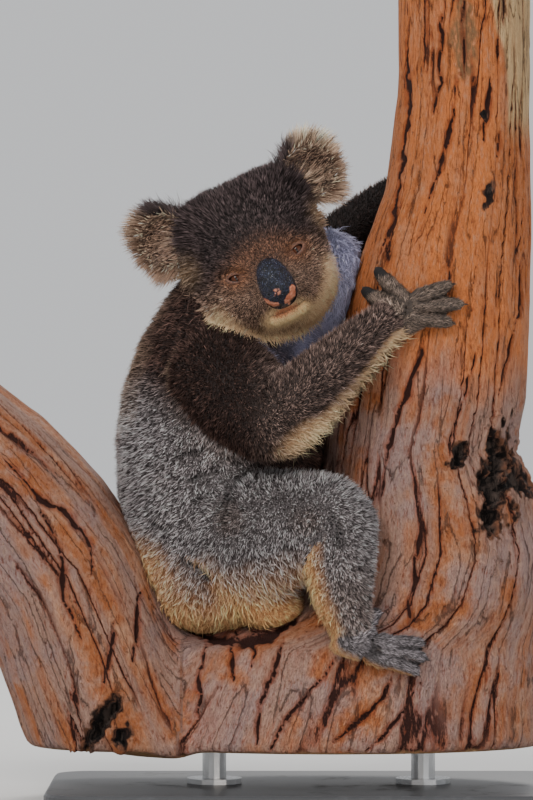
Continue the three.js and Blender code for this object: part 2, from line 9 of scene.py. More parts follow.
import math
from functools import partialmethod

import bmesh
import bpy
import numpy as np
import openvdb
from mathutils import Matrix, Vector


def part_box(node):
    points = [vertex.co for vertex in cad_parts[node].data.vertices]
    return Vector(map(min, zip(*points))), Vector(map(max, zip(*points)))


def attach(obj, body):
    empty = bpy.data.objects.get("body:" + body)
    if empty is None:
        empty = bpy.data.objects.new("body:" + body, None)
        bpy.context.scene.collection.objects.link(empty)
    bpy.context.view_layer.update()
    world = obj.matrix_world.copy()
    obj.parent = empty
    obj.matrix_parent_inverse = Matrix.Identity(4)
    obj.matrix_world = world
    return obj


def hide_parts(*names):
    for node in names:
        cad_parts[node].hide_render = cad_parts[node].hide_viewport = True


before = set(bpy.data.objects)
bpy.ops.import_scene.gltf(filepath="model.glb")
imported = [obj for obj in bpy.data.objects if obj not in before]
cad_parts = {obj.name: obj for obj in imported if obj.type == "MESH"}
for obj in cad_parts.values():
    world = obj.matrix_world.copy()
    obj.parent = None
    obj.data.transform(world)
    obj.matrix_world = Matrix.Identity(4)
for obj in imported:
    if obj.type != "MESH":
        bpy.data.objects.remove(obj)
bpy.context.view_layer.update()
MM = 0.001
RIGHT = -1
LEFT = 1
SIDES = {"right": RIGHT, "left": LEFT}

# %% [markdown]
# ## Small tools for arrays
#
# Blender can build a mesh vertex by vertex, but fur needs a million vertices, so everything here is
# computed as whole numpy arrays and handed over at once with foreach_set. Noise is the other tool
# that everything uses: numbers hashed from the corners of a lattice and blended between them. It is
# written out here, and not taken from Blender's textures, because shapes and colours both read it.


# %% Meshes from arrays
def put_mesh(name, points, faces, colours=None, numbers=None, vectors=None):
    """A mesh object at the origin from points in millimetres and a list of arrays of corners.
    colours, numbers and vectors are attributes, one row for each point."""
    mesh = bpy.data.meshes.new(name)
    sizes = np.concatenate([np.full(len(f), f.shape[1]) for f in faces])
    corners = np.concatenate([np.asarray(f).ravel() for f in faces])
    mesh.vertices.add(len(points))
    mesh.vertices.foreach_set("co", (points * MM).astype(np.float32).ravel())
    mesh.loops.add(len(corners))
    mesh.loops.foreach_set("vertex_index", corners.astype(np.int32))
    mesh.polygons.add(len(sizes))
    starts = np.concatenate([[0], np.cumsum(sizes)[:-1]])
    mesh.polygons.foreach_set("loop_start", starts.astype(np.int32))
    mesh.polygons.foreach_set("use_smooth", np.ones(len(sizes), bool))
    mesh.update(calc_edges=True)
    for key, rows in (colours or {}).items():
        layer = mesh.attributes.new(key, "FLOAT_COLOR", "POINT")
        rgba = np.concatenate([rows, np.ones((len(rows), 1))], axis=1)
        layer.data.foreach_set("color", rgba.astype(np.float32).ravel())
    for key, values in (numbers or {}).items():
        layer = mesh.attributes.new(key, "FLOAT", "POINT")
        layer.data.foreach_set("value", values.astype(np.float32))
    for key, rows in (vectors or {}).items():
        layer = mesh.attributes.new(key, "FLOAT_VECTOR", "POINT")
        layer.data.foreach_set("vector", rows.astype(np.float32).ravel())
    piece = bpy.data.objects.new(name, mesh)
    bpy.context.scene.collection.objects.link(piece)
    return piece


def grid_faces(rows, columns, base=0):
    """Quads of a grid of points whose columns close on themselves."""
    row, column = np.meshgrid(np.arange(rows - 1), np.arange(columns), indexing="ij")
    here = base + row * columns + column
    beside = base + row * columns + (column + 1) % columns
    return np.stack([here, beside, beside + columns, here + columns], -1).reshape(-1, 4)


def closed_tube(rings):
    """Points and faces of rings [row, column, xyz] closed with a point at each end."""
    rows, columns, _ = rings.shape
    points = np.concatenate([rings.reshape(-1, 3), rings[:1].mean(1), rings[-1:].mean(1)])
    column = np.arange(columns)
    beside = (column + 1) % columns
    first = np.stack([beside, column, np.full(columns, rows * columns)], -1)
    last_row = (rows - 1) * columns
    last = np.stack([last_row + column, last_row + beside, np.full(columns, rows * columns + 1)], -1)
    return points, [grid_faces(rows, columns), np.concatenate([first, last])]


def together(parts):
    """Several (points, faces) as one, with quads and triangles kept apart."""
    quads, triangles, points, base = [], [], [], 0
    for spots, faces in parts:
        for f in faces:
            (quads if f.shape[1] == 4 else triangles).append(f + base)
        points.append(spots)
        base += len(spots)
    joined = [np.concatenate(kind) for kind in (quads, triangles) if kind]
    return np.concatenate(points), joined


def unit(vectors):
    return vectors / np.maximum(np.linalg.norm(vectors, axis=-1, keepdims=True), 1e-9)


def outward(points, faces):
    """The faces turned so that they enclose a positive volume."""
    volume = 0.0
    for f in faces:
        for k in range(1, f.shape[1] - 1):
            a, b, c = points[f[:, 0]], points[f[:, k]], points[f[:, k + 1]]
            volume += np.einsum("ij,ij->", a, np.cross(b, c))
    return faces if volume > 0 else [f[:, ::-1] for f in faces]


def point_normals(points, faces):
    """Area-weighted normal of each point."""
    total = np.zeros_like(points)
    for f in faces:
        across = np.cross(points[f[:, 2]] - points[f[:, 0]], points[f[:, -1]] - points[f[:, 1]])
        if f.shape[1] == 3:
            across = np.cross(points[f[:, 1]] - points[f[:, 0]], points[f[:, 2]] - points[f[:, 0]])
        for k in range(f.shape[1]):
            np.add.at(total, f[:, k], across)
    return unit(total)


# %% Numbers: ramps and noise
def ramp(value, start, end):
    """0 before start, 1 after end, and a smooth S between."""
    t = np.clip((value - start) / (end - start), 0, 1)
    return t * t * (3 - 2 * t)


def noise(points, cell, seed=0):
    """Lattice noise from -1 to 1 whose bumps are about one cell across."""
    place = points / cell
    base = np.floor(place).astype(np.int64)
    part = place - base
    part = part * part * (3 - 2 * part)
    total = np.zeros(len(points))
    for corner in range(8):
        step = np.array([corner & 1, corner >> 1 & 1, corner >> 2 & 1])
        k = base + step
        h = k[:, 0] * 73856093 ^ k[:, 1] * 19349663 ^ k[:, 2] * 83492791 ^ (seed + 1) * 40503
        h = (h ^ (h >> 15)) * 2246822519 & 0xFFFFFFFF
        h = (h ^ (h >> 13)) * 3266489917 & 0xFFFFFFFF
        weight = np.prod(np.where(step == 1, part, 1 - part), axis=1)
        total += weight * ((h >> 8 & 0xFFFF) / 32767.5 - 1)
    return total


def slope_of_noise(points, cell, seed=0):
    """The direction in which the noise rises: twice its rise over a quarter of a cell on each axis."""
    reach = 0.25 * cell
    here = noise(points, cell, seed)
    return 2 * np.stack([noise(points + reach * axis, cell, seed) - here for axis in np.eye(3)], -1)


def bell(value, width, middle=0):
    """1 at the middle, falling off on both sides: e to minus the square of the distance over a width."""
    return np.exp(-(((value - middle) / width) ** 2))


def oval(across, up, middle, half):
    """Distance from an oval's middle as a share of its half-sizes, so it is 1 on the rim."""
    return np.hypot((across - middle[0]) / half[0], (up - middle[1]) / half[1])


def slanted(across, up, angle):
    """The same places in a frame that is turned by an angle."""
    c, s = math.cos(angle), math.sin(angle)
    return c * across + s * up, c * up - s * across


def turns(count):
    """Angles that go once round in even steps."""
    return np.linspace(0, 2 * math.pi, count, endpoint=False)


def ways_round(from_front, turn):
    """Unit directions from their angle off -y, which is straight ahead, and their turn round it."""
    return np.stack([np.sin(from_front) * np.cos(turn), -np.cos(from_front) + 0 * turn,
                     np.sin(from_front) * np.sin(turn)], -1)


def line_distance(flat, line):
    """For points x, z and a line through a few points: the distance from the line, the share of its
    length at the nearest spot, the way out from that spot, and the number of the stretch it is on."""
    spots = np.array(line, float)
    best, along = np.full(len(flat), 1e9), np.zeros(len(flat))
    out, stretch = np.zeros((len(flat), 2)), np.zeros(len(flat), int)
    lengths = np.linalg.norm(np.diff(spots, axis=0), axis=1)
    before = np.concatenate([[0], np.cumsum(lengths)])
    for k, (a, b) in enumerate(zip(spots[:-1], spots[1:])):
        way = b - a
        t = np.clip((flat - a) @ way / (way @ way), 0, 1)
        off = flat - a - t[:, None] * way
        away = np.linalg.norm(off, axis=1)
        nearer = away < best
        best[nearer], out[nearer], stretch[nearer] = away[nearer], off[nearer], k
        along[nearer] = before[k] + t[nearer] * lengths[k]
    return best, along / before[-1], out, stretch


def linear(*srgb):
    """A colour given as 0 to 255 in the usual screen scale, as the linear light that a shader takes."""
    value = np.array(srgb, float) / 255
    return np.where(value < 0.04045, value / 12.92, ((value + 0.055) / 1.055) ** 2.4)


print("noise test:", noise(np.array([[1.0, 2.0, 3.0]]), 7.0).round(3))

# %% [markdown]
# ## Camera, floor and light
#
# The camera stands five metres away, level with the animal's shoulder, with a long lens, so the
# perch hides what it hides in life. The light is a large soft lamp above and to the left, a weaker
# one on the other side, a warm one low in front, as light that wood throws back, and one behind
# that lights the tips of the ears' hair.

# %% Camera, floor and lamps
LENS_DISTANCE = 5000
VIEW_MIDDLE = (-50, 456.6)
VIEW_TALL = 920
SENSOR = 36
camera_data = bpy.data.cameras.new("camera")
camera_data.sensor_width = SENSOR
camera_data.lens = SENSOR * LENS_DISTANCE / VIEW_TALL
camera_data.clip_end = 60
camera = bpy.data.objects.new("camera", camera_data)
camera.location = (VIEW_MIDDLE[0] * MM, -LENS_DISTANCE * MM, VIEW_MIDDLE[1] * MM)
camera.rotation_euler = (math.pi / 2, 0, 0)
bpy.context.scene.collection.objects.link(camera)
bpy.context.scene.camera = camera

FLOOR_HALF = 9000
floor_corners = np.array([[-1, -1, 0], [1, -1, 0], [1, 1, 0], [-1, 1, 0]], float) * FLOOR_HALF
floor = put_mesh("floor", floor_corners, [np.array([[0, 1, 2, 3]])])


def lamp(name, place, target, size, power, tint):
    """A square soft lamp in metres that faces its target."""
    data = bpy.data.lights.new(name, "AREA")
    data.size = size
    data.energy = power
    data.color = tint
    item = bpy.data.objects.new(name, data)
    bpy.context.scene.collection.objects.link(item)
    item.location = place
    away = np.array(place) - np.array(target)
    flat = math.hypot(away[0], away[1])
    item.rotation_euler = (math.atan2(flat, away[2]), 0, math.atan2(away[1], away[0]) + math.pi / 2)


TARGET = (0, 0, 0.5)
lamp("lamp_key", (-1.5, -2.6, 2.7), TARGET, 1.3, 92, (1.0, 0.965, 0.92))
lamp("lamp_fill", (2.6, -2.8, 1.2), TARGET, 2.2, 22, (0.93, 0.96, 1.0))
lamp("lamp_back", (0.6, 2.4, 2.4), TARGET, 1.2, 70, (1.0, 0.97, 0.93))
lamp("lamp_low", (0.3, -3.0, 0.15), TARGET, 1.6, 30, (1.0, 0.88, 0.76))
world = bpy.data.worlds.new("world")
world.use_nodes = True
world.node_tree.nodes["Background"].inputs["Color"].default_value = (0.86, 0.87, 0.89, 1)
world.node_tree.nodes["Background"].inputs["Strength"].default_value = 0.8
bpy.context.scene.world = world
print("camera lens", round(camera_data.lens, 2))

# %% [markdown]
# ## Materials as short recipes
#
# A material is a small graph of nodes. The class below keeps the recipes short: it adds a node, sets
# its values and links its inputs in one call, so that each finish reads as a few lines.


# %% A helper for node graphs
class Finish:
    """A material whose nodes are added one line at a time."""

    def __init__(self, name, **values):
        self.material = bpy.data.materials.new(name)
        self.material.use_nodes = True
        self.tree = self.material.node_tree
        self.shader = self.tree.nodes["Principled BSDF"]
        for key, value in values.items():
            self.shader.inputs[key.replace("_", " ")].default_value = value

    def add(self, kind, settings=None, **inputs):
        """Adds a node; an input is a value, or a socket to link from."""
        made = self.tree.nodes.new(kind)
        for key, value in (settings or {}).items():
            setattr(made, key, value)
        for key, value in inputs.items():
            socket = made.inputs[int(key[1:]) if key[0] == "i" and key[1:].isdigit() else key]
            self.link(value, socket)
        return made

    def link(self, value, socket):
        if isinstance(value, bpy.types.NodeSocket):
            self.tree.links.new(value, socket)
        else:
            socket.default_value = value

    def attribute(self, name, output="Fac"):
        return self.add("ShaderNodeAttribute", {"attribute_name": name}).outputs[output]

    def place(self):
        return self.add("ShaderNodeTexCoord").outputs["Object"]

    def noise(self, vector, scale, detail=3.0, rough=0.55):
        made = self.add("ShaderNodeTexNoise", Vector=vector, Scale=scale, Detail=detail, Roughness=rough)
        return made.outputs["Fac"]

    def math(self, kind, a, b=0.0):
        return self.add("ShaderNodeMath", {"operation": kind}, i0=a, i1=b).outputs[0]

    plus = partialmethod(math, "ADD")
    minus = partialmethod(math, "SUBTRACT")
    times = partialmethod(math, "MULTIPLY")
    larger = partialmethod(math, "MAXIMUM")
    size = partialmethod(math, "ABSOLUTE")

    def span(self, value, low, high, to_low=0.0, to_high=1.0):
        """Maps low to high onto to_low to to_high, clamped."""
        made = self.add("ShaderNodeMapRange", {"clamp": True, "interpolation_type": "SMOOTHSTEP"})
        for key, item in zip(("Value", "From Min", "From Max", "To Min", "To Max"),
                             (value, low, high, to_low, to_high)):
            self.link(item, made.inputs[key])
        return made.outputs[0]

    def mix(self, share, a, b, kind="MIX"):
        made = self.add("ShaderNodeMix", {"data_type": "RGBA", "blend_type": kind})
        self.link(share, made.inputs[0])
        self.link(self.colour(a), made.inputs[6])
        self.link(self.colour(b), made.inputs[7])
        return made.outputs[2]

    @staticmethod
    def colour(value):
        """A socket as it is, or a colour from 0 to 255 as the linear light that a socket takes."""
        return value if isinstance(value, bpy.types.NodeSocket) else (*linear(*value).tolist(), 1.0)

    def bump(self, height, strength, distance):
        made = self.add("ShaderNodeBump", Height=height, Strength=strength, Distance=distance)
        self.tree.links.new(made.outputs[0], self.shader.inputs["Normal"])

    def paint(self, colour):
        self.link(self.colour(colour), self.shader.inputs["Base Color"])


def dress(piece, finish, slot, *nodes):
    """Gives a piece its finish, lets it ride on the body and stand for its nodes. The slot is not used."""
    piece.data.materials.append(finish.material)
    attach(piece, "root")
    if nodes:
        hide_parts(*nodes)


# %% Floor finish
floor_finish = Finish("floor_paper", Roughness=0.9)
floor_grain = floor_finish.noise(floor_finish.place(), 3.0)
floor_finish.paint(floor_finish.mix(floor_grain, (205, 205, 204), (212, 212, 211)))
floor.data.materials.append(floor_finish.material)

# %% [markdown]
# ## Distance fields
#
# The solids of the animal are separate lengths with hairline gaps between them, and the real one has
# one skin. Joining them with booleans would leave creases, and sculpting by hand isn't repeatable.
# So each solid becomes a field of distances on a lattice, negative inside. Fields are easy to join,
# soften and shrink as whole arrays, and the surface where a field is zero is a mesh again.


# %% Fields of distance
BAND = 12


def node_shape(name):
    """Points in millimetres and triangles of one solid of the frame."""
    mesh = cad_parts[name].data
    points = np.empty(len(mesh.vertices) * 3, np.float32)
    mesh.vertices.foreach_get("co", points)
    corners = np.empty(len(mesh.loops), np.int32)
    mesh.loops.foreach_get("vertex_index", corners)
    return points.reshape(-1, 3) / MM, corners.reshape(-1, 3)


class Lattice:
    """A box of lattice points that holds fields of distance, in millimetres."""

    def __init__(self, low, high, step):
        self.step = step
        self.first = np.floor(np.array(low) / step).astype(int)
        self.shape = tuple(np.ceil(np.array(high) / step).astype(int) - self.first + 1)
        self.transform = openvdb.createLinearTransform(voxelSize=step)

    def distance(self, points, triangles):
        """Distance from a closed mesh, negative inside, up to BAND steps away."""
        grid = openvdb.FloatGrid.createLevelSetFromPolygons(
            np.ascontiguousarray(points, dtype=np.float32),
            triangles=np.ascontiguousarray(triangles, dtype=np.uint32),
            transform=self.transform,
            halfWidth=BAND,
        )
        field = np.zeros(self.shape, np.float32)
        grid.copyToArray(field, ijk=tuple(int(v) for v in self.first))
        return field

    def surface(self, field):
        """Points and faces of the surface where the field is zero, facing outwards."""
        grid = openvdb.FloatGrid(float(BAND * self.step))
        grid.copyFromArray(field.astype(np.float32), ijk=tuple(int(v) for v in self.first))
        grid.transform = self.transform
        points, triangles, quads = grid.convertToPolygons(isovalue=0)
        points = points.astype(float)
        faces = [f.astype(np.int64) for f in (quads, triangles) if len(f)]
        return points, outward(points, faces)

    def read(self, field, points):
        """The field's value at points, blended between the lattice points."""
        place = np.clip(points / self.step - self.first, 0, np.array(self.shape) - 1.001)
        base = place.astype(int)
        part = place - base
        total = np.zeros(len(points))
        for corner in range(8):
            step = np.array([corner & 1, corner >> 1 & 1, corner >> 2 & 1])
            i, j, k = (base + step).T
            total += np.prod(np.where(step == 1, part, 1 - part), axis=1) * field[i, j, k]
        return total

    def rise(self, field, points):
        """The direction away from the solid at points."""
        reach = self.step
        steps = [self.read(field, points + reach * axis) - self.read(field, points - reach * axis)
                 for axis in np.eye(3)]
        return unit(np.stack(steps, -1))


def soften(field, spread):
    """Blurs a field along each axis with a bell curve of that spread, in steps."""
    reach = int(math.ceil(2.5 * spread))
    offsets = np.arange(-reach, reach + 1)
    weights = np.exp(-0.5 * (offsets / spread) ** 2)
    weights /= weights.sum()
    for axis in range(3):
        padding = [(reach, reach) if a == axis else (0, 0) for a in range(3)]
        padded = np.pad(field, padding, mode="edge")
        length = field.shape[axis]
        blurred = np.zeros_like(field)
        for offset, weight in zip(offsets, weights):
            blurred += np.float32(weight) * np.take(padded, np.arange(length) + reach + offset, axis=axis)
        field = blurred
    return field


def melt(a, b, width):
    """The nearer of two distances, rounded where they are within a width of each other."""
    share = np.clip(0.5 + 0.5 * (b - a) / width, 0, 1)
    return b + (a - b) * share - width * share * (1 - share)


def box_of(*names):
    corners = np.array([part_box(name) for name in names]) / MM
    return corners[:, 0].min(0), corners[:, 1].max(0)


# %% [markdown]
# ## The fork of the tree
#
# Gum wood of this age has shed its bark: the surface is smooth, salmon to grey, and split by long
# dark cracks that follow the grain, closing and opening again. The trunk and the side limb are one
# piece of wood, so their fields are melted together. The cracks are where a stretched noise crosses
# zero: such lines wander, fork and end as real ones do. The value itself is kept as an attribute,
# so the colour can draw the same crack finer than the mesh is.

# %% One field for trunk and limb
WOOD_STEP = 3.65
WOOD_MARGIN = 40
FORK_MELT = 34
WOOD_SOFT = 1.6
wood_low, wood_high = box_of("perch_trunk", "perch_limb")
wood_room = Lattice(wood_low - WOOD_MARGIN, wood_high + WOOD_MARGIN, WOOD_STEP)
trunk_field = wood_room.distance(*node_shape("perch_trunk"))
limb_field = wood_room.distance(*node_shape("perch_limb"))
wood_field = soften(melt(trunk_field, limb_field, FORK_MELT), WOOD_SOFT)
wood_points, wood_faces = wood_room.surface(wood_field)
print("wood:", len(wood_points), "points")

# %% The grain's own coordinates
trunk_spots, _ = node_shape("perch_trunk")
TRUNK_LEVELS = np.unique(trunk_spots[:, 2].round(1))
trunk_rings = [trunk_spots[np.abs(trunk_spots[:, 2] - z) < 0.2] for z in TRUNK_LEVELS]
ring_low = np.array([ring.min(0) for ring in trunk_rings])
ring_high = np.array([ring.max(0) for ring in trunk_rings])
TRUNK_MIDDLE = ((ring_low + ring_high) / 2)[:, 0]
TRUNK_WIDE, TRUNK_DEEP = ((ring_high - ring_low) / 2)[:, :2].T
GRAIN_RADIUS = 130
GRAIN_STRETCH = 0.1
FORK_BLEND = 14
# The noise of the limb's grain is read this far aside, so that it differs from the trunk's.
LIMB_ASIDE = 700
LIMB_LINE = np.array([[-178, 0], [-236, 135], [-284, 252], [-352, 340], [-440, 418]], float)


def trunk_section(z):
    return [np.interp(z, TRUNK_LEVELS, row) for row in (TRUNK_MIDDLE, TRUNK_WIDE, TRUNK_DEEP)]


def round_grain(turn, along, aside=0):
    """A place on a round stem of one radius, whose length is drawn in so that noise is long on it."""
    round_it = GRAIN_RADIUS * np.stack([np.cos(turn), np.sin(turn)], -1)
    return np.concatenate([round_it + aside, GRAIN_STRETCH * along[:, None]], axis=1)


def trunk_grain(points):
    """Angle round the trunk's own oval and height: the oval swells and leans, and the grain with it."""
    middle, wide, deep = trunk_section(points[:, 2])
    turn = np.arctan2(points[:, 1] / deep, (points[:, 0] - middle) / wide)
    return round_grain(turn, points[:, 2])


def limb_grain(points):
    """Angle round the side limb's curved middle line and length along it."""
    ways = np.diff(LIMB_LINE, axis=0)
    lengths = np.linalg.norm(ways, axis=1)
    _, share, off, stretch = line_distance(points[:, [0, 2]], LIMB_LINE)
    way = (ways / lengths[:, None])[stretch]
    turn = np.arctan2(points[:, 1], off[:, 0] * way[:, 1] - off[:, 1] * way[:, 0])
    return round_grain(turn, lengths.sum() * share, LIMB_ASIDE)


on_trunk = wood_room.read(limb_field, wood_points) - wood_room.read(trunk_field, wood_points)
on_trunk = ramp(on_trunk, -FORK_BLEND, FORK_BLEND)
grain_trunk = trunk_grain(wood_points)
grain_limb = limb_grain(wood_points)


def by_grain(value):
    """A value worked out on each of the two grains and blended by where the wood is trunk."""
    return on_trunk * value(grain_trunk) + (1 - on_trunk) * value(grain_limb)


# %% Cracks, knots and the swell between them
# Long cracks of the near face: points x, z along each, its half-width and its depth.
RIFTS = [
    ([(131, 529), (116, 496), (103, 457), (91, 423), (83, 389), (78, 345)], 3.4, 7),
    ([(187, 518), (172, 462), (158, 417), (151, 378)], 2.2, 5),
    ([(149, 912), (145, 815), (136, 776)], 2.8, 6),
    ([(173, 912), (171, 820)], 2.4, 5),
    ([(165, 828), (161, 781), (154, 750), (139, 703), (128, 664)], 3.2, 6),
    ([(109, 912), (113, 804), (100, 697), (92, 658), (77, 616)], 2.4, 5),
    ([(203, 826), (200, 781), (192, 742)], 2.2, 5),
    ([(217, 765), (206, 720)], 2.2, 4),
    ([(161, 625), (152, 569)], 2.8, 5),
    ([(240, 625), (238, 557), (223, 513), (211, 457)], 2.4, 5),
    ([(125, 322), (121, 300), (114, 252), (107, 199)], 4.2, 8),
    ([(27, 171), (5, 137), (-25, 106), (-48, 62)], 3.8, 8),
    ([(89, 152), (78, 125), (51, 98), (21, 72)], 4.0, 8),
    ([(124, 144), (108, 114), (82, 83), (60, 62)], 4.2, 8),
    ([(-350, 396), (-326, 370), (-307, 346), (-277, 332), (-260, 310), (-248, 289), (-247, 254)], 3.6, 7),
    ([(-307, 334), (-293, 315), (-281, 289), (-276, 265), (-279, 233), (-267, 211), (-255, 182)], 4.0, 8),
    ([(-194, 242), (-195, 206), (-200, 159)], 4.6, 10),
    ([(-222, 211), (-225, 171), (-236, 128)], 3.0, 6),
    ([(-86, 196), (-90, 166), (-88, 138)], 3.4, 7),
    ([(-66, 197), (-64, 172), (-68, 150)], 2.8, 6),
    ([(-33, 192), (-42, 158), (-58, 116), (-64, 70)], 3.6, 8),
    ([(-119, 182), (-127, 140), (-124, 96)], 3.2, 7),
    ([(-152, 200), (-118, 187), (-80, 186), (-40, 196), (-12, 216)], 6.5, 9),
]
# Knots and hollows of the near face: x, z, half-width, half-height, lean in degrees, depth.
KNOTS = [
    (206, 358, 16, 52, -6, 20),
    (228, 366, 11, 20, 50, 13),
    (165, 393, 8, 12, -20, 12),
    (-240, 86, 9, 34, -32, 16),
    (-213, 76, 9, 12, 0, 9),
    (201, 692, 6, 15, -10, 3),
    (197, 779, 4, 4, 0, 4),
]


def crack_noise(grain, seed):
    """Noise whose zero lines are the cracks, with smaller wiggles laid over it."""
    warped = grain + 4.0 * np.stack([noise(grain, 17, seed + 5), noise(grain, 17, seed + 6),
                                     np.zeros(len(grain))], -1)
    return noise(warped, 24, seed) + 0.4 * noise(warped, 9.5, seed + 1)


near_face = wood_points[:, 1] < 0
crack_value = by_grain(lambda grain: crack_noise(grain, 3))
fine_value = by_grain(lambda grain: noise(grain, 8.5, 41))
open_share = ramp(by_grain(lambda grain: noise(grain, 22, 61)), -0.35, 0.25)
# Where a crack or a knot is so far away that it doesn't count.
FAR = 9.0
FAR_FACE = 99
rift_value = np.full(len(wood_points), FAR)
rift_depth = np.zeros(len(wood_points))
stretched = wood_points * np.array([1, 1, 0.35])
wander = np.stack([3.4 * noise(wood_points, 21, 8) + 1.7 * noise(wood_points, 8, 9),
                   1.5 * noise(wood_points, 15, 10)], -1)
gape = 0.75 + 0.5 * noise(stretched, 9, 14) + 0.3 * noise(wood_points, 5, 15)
for line, half, deep in RIFTS:
    away, along, _, _ = line_distance(wood_points[:, [0, 2]] + wander, line)
    open_here = np.clip(gape, 0.2, 1.3) * (0.12 + 0.88 * np.sin(math.pi * along) ** 0.6)
    away = np.where(near_face, away / (half * open_here), FAR_FACE)
    rift_value = np.minimum(rift_value, away)
    rift_depth = np.maximum(rift_depth, deep * np.minimum(open_here, 1) * (1 - ramp(away, 0.1, 1.6)))
knot_value = np.full(len(wood_points), FAR)
knot_depth = np.zeros(len(wood_points))
knot_rim = np.zeros(len(wood_points))
ragged = 0.6 * noise(wood_points, 12, 12) + 0.5 * noise(wood_points, 5, 13)
for x, z, wide, tall, lean, deep in KNOTS:
    across, up = slanted(wood_points[:, 0] - x, wood_points[:, 2] - z, math.radians(lean))
    away = np.where(near_face, np.hypot(across / wide, up / tall) + ragged, FAR_FACE)
    knot_value = np.minimum(knot_value, away)
    knot_depth = np.maximum(knot_depth, deep * (1 - ramp(away, 0.35, 1.1)))
    knot_rim = np.maximum(knot_rim, min(deep, 9) * 0.5 * bell(away, 0.3, 1.35))
wood_normals = point_normals(wood_points, wood_faces)
# The sawn ends, each by its facing and its place: the trunk's top, its foot and the limb's end.
LIMB_FACING = unit(np.array([-0.75, 0, 0.66]))
end_faces = np.maximum.reduce([
    ramp(wood_normals[:, 2], 0.8, 0.95) * ramp(wood_points[:, 2], 905, 925),
    ramp(-wood_normals[:, 2], 0.8, 0.95) * ramp(-wood_points[:, 2], -66, -62),
    ramp(wood_normals @ LIMB_FACING, 0.86, 0.96)
    * ramp(wood_points[:, 2] - wood_points[:, 0] * 1.13, 860, 900),
])
crack_depth = 4.6 * open_share * (1 - ramp(np.abs(crack_value), 0.0, 0.16))
fine_depth = 0.9 * (1 - ramp(np.abs(fine_value), 0.0, 0.2))
swell = 1.6 * noise(wood_points, 60, 77) + 0.7 * noise(wood_points, 22, 78)
depth = np.maximum.reduce([crack_depth, rift_depth, fine_depth, knot_depth]) * (1 - end_faces)
wood_shift = (swell + knot_rim) * (1 - end_faces) - depth
wood_points = wood_points + wood_normals * wood_shift[:, None]
print("deepest crack", round(float(depth.max()), 1), "mm")

# %% Finish of the wood
wood = Finish("gum_wood", Roughness=0.82, Specular_IOR_Level=0.25)
wood_place = wood.place()
grain_at = wood.attribute("grain", "Vector")
warmth = wood.attribute("warmth")
broad = wood.noise(grain_at, 0.03, 4.0)
streak = wood.noise(grain_at, 0.16, 6.0, 0.62)
mottle = wood.noise(wood_place, 26, 7.0, 0.62)
speck = wood.noise(wood_place, 220, 4.0, 0.7)
wood_long = wood.add("ShaderNodeMapping", Vector=wood_place, Scale=(1.0, 1.0, 0.28)).outputs[0]
fleck = wood.noise(wood_long, 260, 6.0, 0.72)
ragged_edge = wood.minus(wood.noise(wood_long, 130, 5.0, 0.75), 0.5)
grey_wood = wood.mix(streak, (134, 100, 86), (186, 150, 134))
warm_wood = wood.mix(streak, (194, 99, 45), (224, 140, 80))
salmon = wood.mix(wood.span(mottle, 0.42, 0.62), (170, 102, 62), (188, 138, 108))
lower_wood = wood.mix(wood.span(broad, 0.4, 0.6), grey_wood, salmon)
upper_wood = wood.mix(wood.span(broad, 0.36, 0.64), warm_wood, wood.mix(0.5, warm_wood, salmon))
lilac = wood.times(wood.span(wood.noise(wood_place, 13, 5.0, 0.6), 0.46, 0.6), 0.6)
lower_wood = wood.mix(lilac, lower_wood, wood.mix(streak, (132, 112, 112), (170, 148, 146)))
warm_share = wood.span(wood.plus(warmth, wood.times(mottle, 0.5)), 0.55, 1.0)
body_wood = wood.mix(warm_share, lower_wood, upper_wood)
rusty = wood.span(wood.noise(grain_at, 0.5, 5.0, 0.7), 0.56, 0.7)
body_wood = wood.mix(wood.times(rusty, 0.55), body_wood, (160, 70, 34))
body_wood = wood.mix(wood.span(speck, 0.6, 0.72), body_wood, (110, 70, 52))
body_wood = wood.mix(wood.span(fleck, 0.5, 0.3, 0.0, 0.5), body_wood, (188, 152, 128))
body_wood = wood.mix(wood.span(fleck, 0.52, 0.68, 0.0, 0.75), body_wood, (112, 50, 26))
pale_wood = wood.mix(streak, (170, 112, 58), (240, 214, 166))
body_wood = wood.mix(wood.attribute("pale"), body_wood, pale_wood)
moss = wood.times(wood.attribute("moss"), wood.span(fleck, 0.36, 0.5))
body_wood = wood.mix(moss, body_wood, wood.mix(speck, (78, 62, 44), (140, 118, 86)))


def jagged(name, reach):
    """The size of an attribute with its edge broken up by noise."""
    return wood.size(wood.plus(wood.attribute(name), wood.times(ragged_edge, reach)))


crack_line = jagged("crack", 0.45)
open_here = wood.attribute("open")
crack_dark = wood.times(wood.span(crack_line, 0.06, 0.02), open_here)
crack_edge = wood.times(wood.span(crack_line, 0.15, 0.04), open_here)
fine_gate = wood.span(wood.noise(grain_at, 0.11, 3.0), 0.38, 0.52)
fine_dark = wood.times(wood.span(jagged("fine", 0.9), 0.09, 0.0, 0.0, 0.85), fine_gate)
rift_line = jagged("rift", 1.6)
rift_dark = wood.span(rift_line, 1.0, 0.6)
rift_edge = wood.span(rift_line, 2.6, 0.95, 0.0, 0.8)
fibre = wood.noise(grain_at, 1.3, 5.0, 0.7)
hair_crack = wood.span(wood.size(wood.minus(fibre, 0.5)), 0.02, 0.0, 0.0, 0.45)
edge_tone = wood.mix(streak, (120, 50, 26), (150, 66, 34))
edge_share = wood.times(wood.larger(crack_edge, rift_edge), 0.7)
body_wood = wood.mix(edge_share, body_wood, edge_tone)
thin_dark = wood.larger(wood.times(fine_dark, 0.85), hair_crack)
all_dark = wood.larger(wood.larger(crack_dark, rift_dark), thin_dark)
body_wood = wood.mix(all_dark, body_wood, (44, 18, 12))
knot_line = wood.attribute("knot")
rot = wood.span(wood.noise(wood_long, 90, 6.0, 0.75), 0.45, 0.6)
knot_rust = wood.mix(rot, (30, 15, 11), (128, 84, 62))
